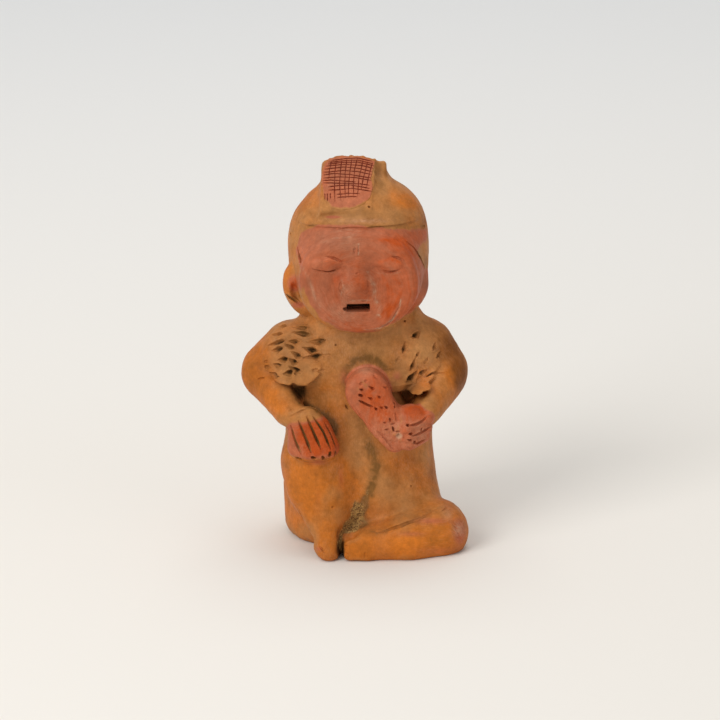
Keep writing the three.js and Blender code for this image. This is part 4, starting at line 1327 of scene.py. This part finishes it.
def grainTree(name, settings, material):
    tree = bpy.data.node_groups.new(name, "GeometryNodeTree")
    tree.interface.new_socket("Geometry", in_out="INPUT", socket_type="NodeSocketGeometry")
    for label in settings:
        kind = "NodeSocketInt" if label == "seed" else "NodeSocketFloat"
        tree.interface.new_socket(label, in_out="INPUT", socket_type=kind)
    tree.interface.new_socket("Geometry", in_out="OUTPUT", socket_type="NodeSocketGeometry")
    given = tree.nodes.new("NodeGroupInput").outputs
    sandShare = addNode(tree, "GeometryNodeInputNamedAttribute", {"Name": "sand"})
    thickest = given["perSquareMetre"]
    density = addNode(tree, "ShaderNodeMath", {0: sandShare, 1: thickest}, operation="MULTIPLY")
    spread = {"Mesh": given["Geometry"], "Density": density, "Seed": given["seed"]}
    places = addNode(tree, "GeometryNodeDistributePointsOnFaces", spread)
    sizes = {2: given["least"], 3: given["most"], "Seed": given["seed"]}
    size = addNode(tree, "FunctionNodeRandomValue", sizes, 1)
    turns = {1: (6.28, 6.28, 6.28), "Seed": given["seed"]}
    turn = addNode(tree, "FunctionNodeRandomValue", turns, data_type="FLOAT_VECTOR")
    grain = addNode(tree, "GeometryNodeMeshIcoSphere", {"Radius": 1.0, "Subdivisions": 1})
    laid = {"Points": places, "Instance": grain, "Scale": size, "Rotation": turn}
    grains = addNode(tree, "GeometryNodeInstanceOnPoints", laid)
    real = addNode(tree, "GeometryNodeRealizeInstances", {"Geometry": grains})
    done = addNode(tree, "GeometryNodeSetMaterial", {"Geometry": real, "Material": material})
    addNode(tree, "NodeGroupOutput", {"Geometry": done})
    return tree


sandOnSkin = np.empty(len(skin.data.vertices), np.float32)
skin.data.attributes["sand"].data.foreach_get("value", sandOnSkin)
corners = np.empty(len(skin.data.loops), np.int32)
skin.data.loops.foreach_get("vertex_index", corners)
sandy = corners.reshape(-1, 3)
sandy = sandy[sandOnSkin[sandy].min(1) > sandyFrom]
bed = np.unique(sandy)
renumber = np.zeros(len(points), int)
renumber[bed] = np.arange(len(bed))
grainSkin = placeObject("sand_grains", meshFrom("sand_grains", points[bed], renumber[sandy]))
dressSkin(grainSkin, points[bed], outward[bed])
grains = grainSkin.modifiers.new("grains", "NODES")
grains.node_group = grainTree("grains", sand, clayMaterial)
for socket in grains.node_group.interface.items_tree:
    if socket.name in sand:
        grains[socket.identifier] = sand[socket.name]
applied(grainSkin)
grainSkin.data.shade_smooth()
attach(grainSkin, "root")
print("sand grains:", len(grainSkin.data.polygons) // grainFaces)

# A plain pale floor that curves up into the backdrop
studio = {
    "floor": "#e5dfd6",
    "backdrop": "#f7fafd",
    "turn": (0.1, 2.0),  # metres behind the figure, where the floor's tone goes over to the backdrop's
    "reach": 3.0,  # metres from the figure to the rise of the backdrop
    "bend": 1.5,
    "tall": 3.0,
    "world": "#eff2f5",
    "worldStrength": 0.52,
    "sensor": 36,
}


def floorMesh():
    wide, front, steps = 6.0, -4.0, 24
    reach, bend = studio["reach"], studio["bend"]
    profile = [(front, 0.0), (reach, 0.0)]
    for i in range(1, steps + 1):
        angle = math.pi / 2 * i / steps
        profile.append((reach + bend * math.sin(angle), bend * (1 - math.cos(angle))))
    profile.append((reach + bend, bend + studio["tall"]))
    corners = [(side * wide, y, z) for y, z in profile for side in (-1, 1)]
    faces = np.array([(2 * i, 2 * i + 1, 2 * i + 3, 2 * i + 2) for i in range(len(profile) - 1)])
    return meshFrom("floor", corners, faces)


floor = placeObject("floor", floorMesh())
floor.data.shade_smooth()
floorMaterial = bpy.data.materials.new("matt paper")
floorMaterial.use_nodes = True
paper = floorMaterial.node_tree
distance = addNode(paper, "ShaderNodeSeparateXYZ", {0: addNode(paper, "ShaderNodeTexCoord", out=3)}, out=1)
near, far = studio["turn"]
share = addNode(paper, "ShaderNodeMapRange", {0: distance, 1: near, 2: far})
tones = {0: share, 6: linear(studio["floor"]), 7: linear(studio["backdrop"])}
tone = addNode(paper, "ShaderNodeMix", tones, 2, data_type="RGBA")
paper.links.new(tone, paper.nodes["Principled BSDF"].inputs["Base Color"])
paper.nodes["Principled BSDF"].inputs["Roughness"].default_value = 0.85
floor.data.materials.append(floorMaterial)

world = bpy.data.worlds.new("studio")
bpy.context.scene.world = world
world.use_nodes = True
world.node_tree.nodes["Background"].inputs[0].default_value = linear(studio["world"])
world.node_tree.nodes["Background"].inputs[1].default_value = studio["worldStrength"]

# Big soft lamps: a key from the upper left, a weaker one from the right and one from above
lamps = {
    "key": {"place": (-1.0, -1.0, 1.1), "size": 0.9, "watts": 17.0},
    "fill": {"place": (1.2, -0.9, 0.7), "size": 1.0, "watts": 1.5},
    "top": {"place": (0.0, 0.3, 1.5), "size": 1.2, "watts": 10.0},
}
target = Vector((0, 0, 0.08))
for name, lamp in lamps.items():
    light = bpy.data.lights.new(name, "AREA")
    light.size = lamp["size"]
    light.energy = lamp["watts"]
    made = bpy.data.objects.new(name, light)
    made.location = lamp["place"]
    made.rotation_euler = (target - Vector(lamp["place"])).to_track_quat("-Z", "Y").to_euler()
    bpy.context.scene.collection.objects.link(made)

camera = bpy.data.cameras.new("camera")
camera.lens = view["focal"] / view["side"] * studio["sensor"]
camera.sensor_width = studio["sensor"]
camera.clip_start, camera.clip_end = 0.01, 50
cameraObject = bpy.data.objects.new("camera", camera)
axes = Matrix([list(rightward), list(upward), list(-ahead)]).transposed()
cameraObject.matrix_world = Matrix.Translation(Vector(inFrame(view["eye"]))) @ axes.to_4x4()
bpy.context.scene.collection.objects.link(cameraObject)
bpy.context.scene.camera = cameraObject
bpy.context.scene.view_settings.view_transform = "Standard"
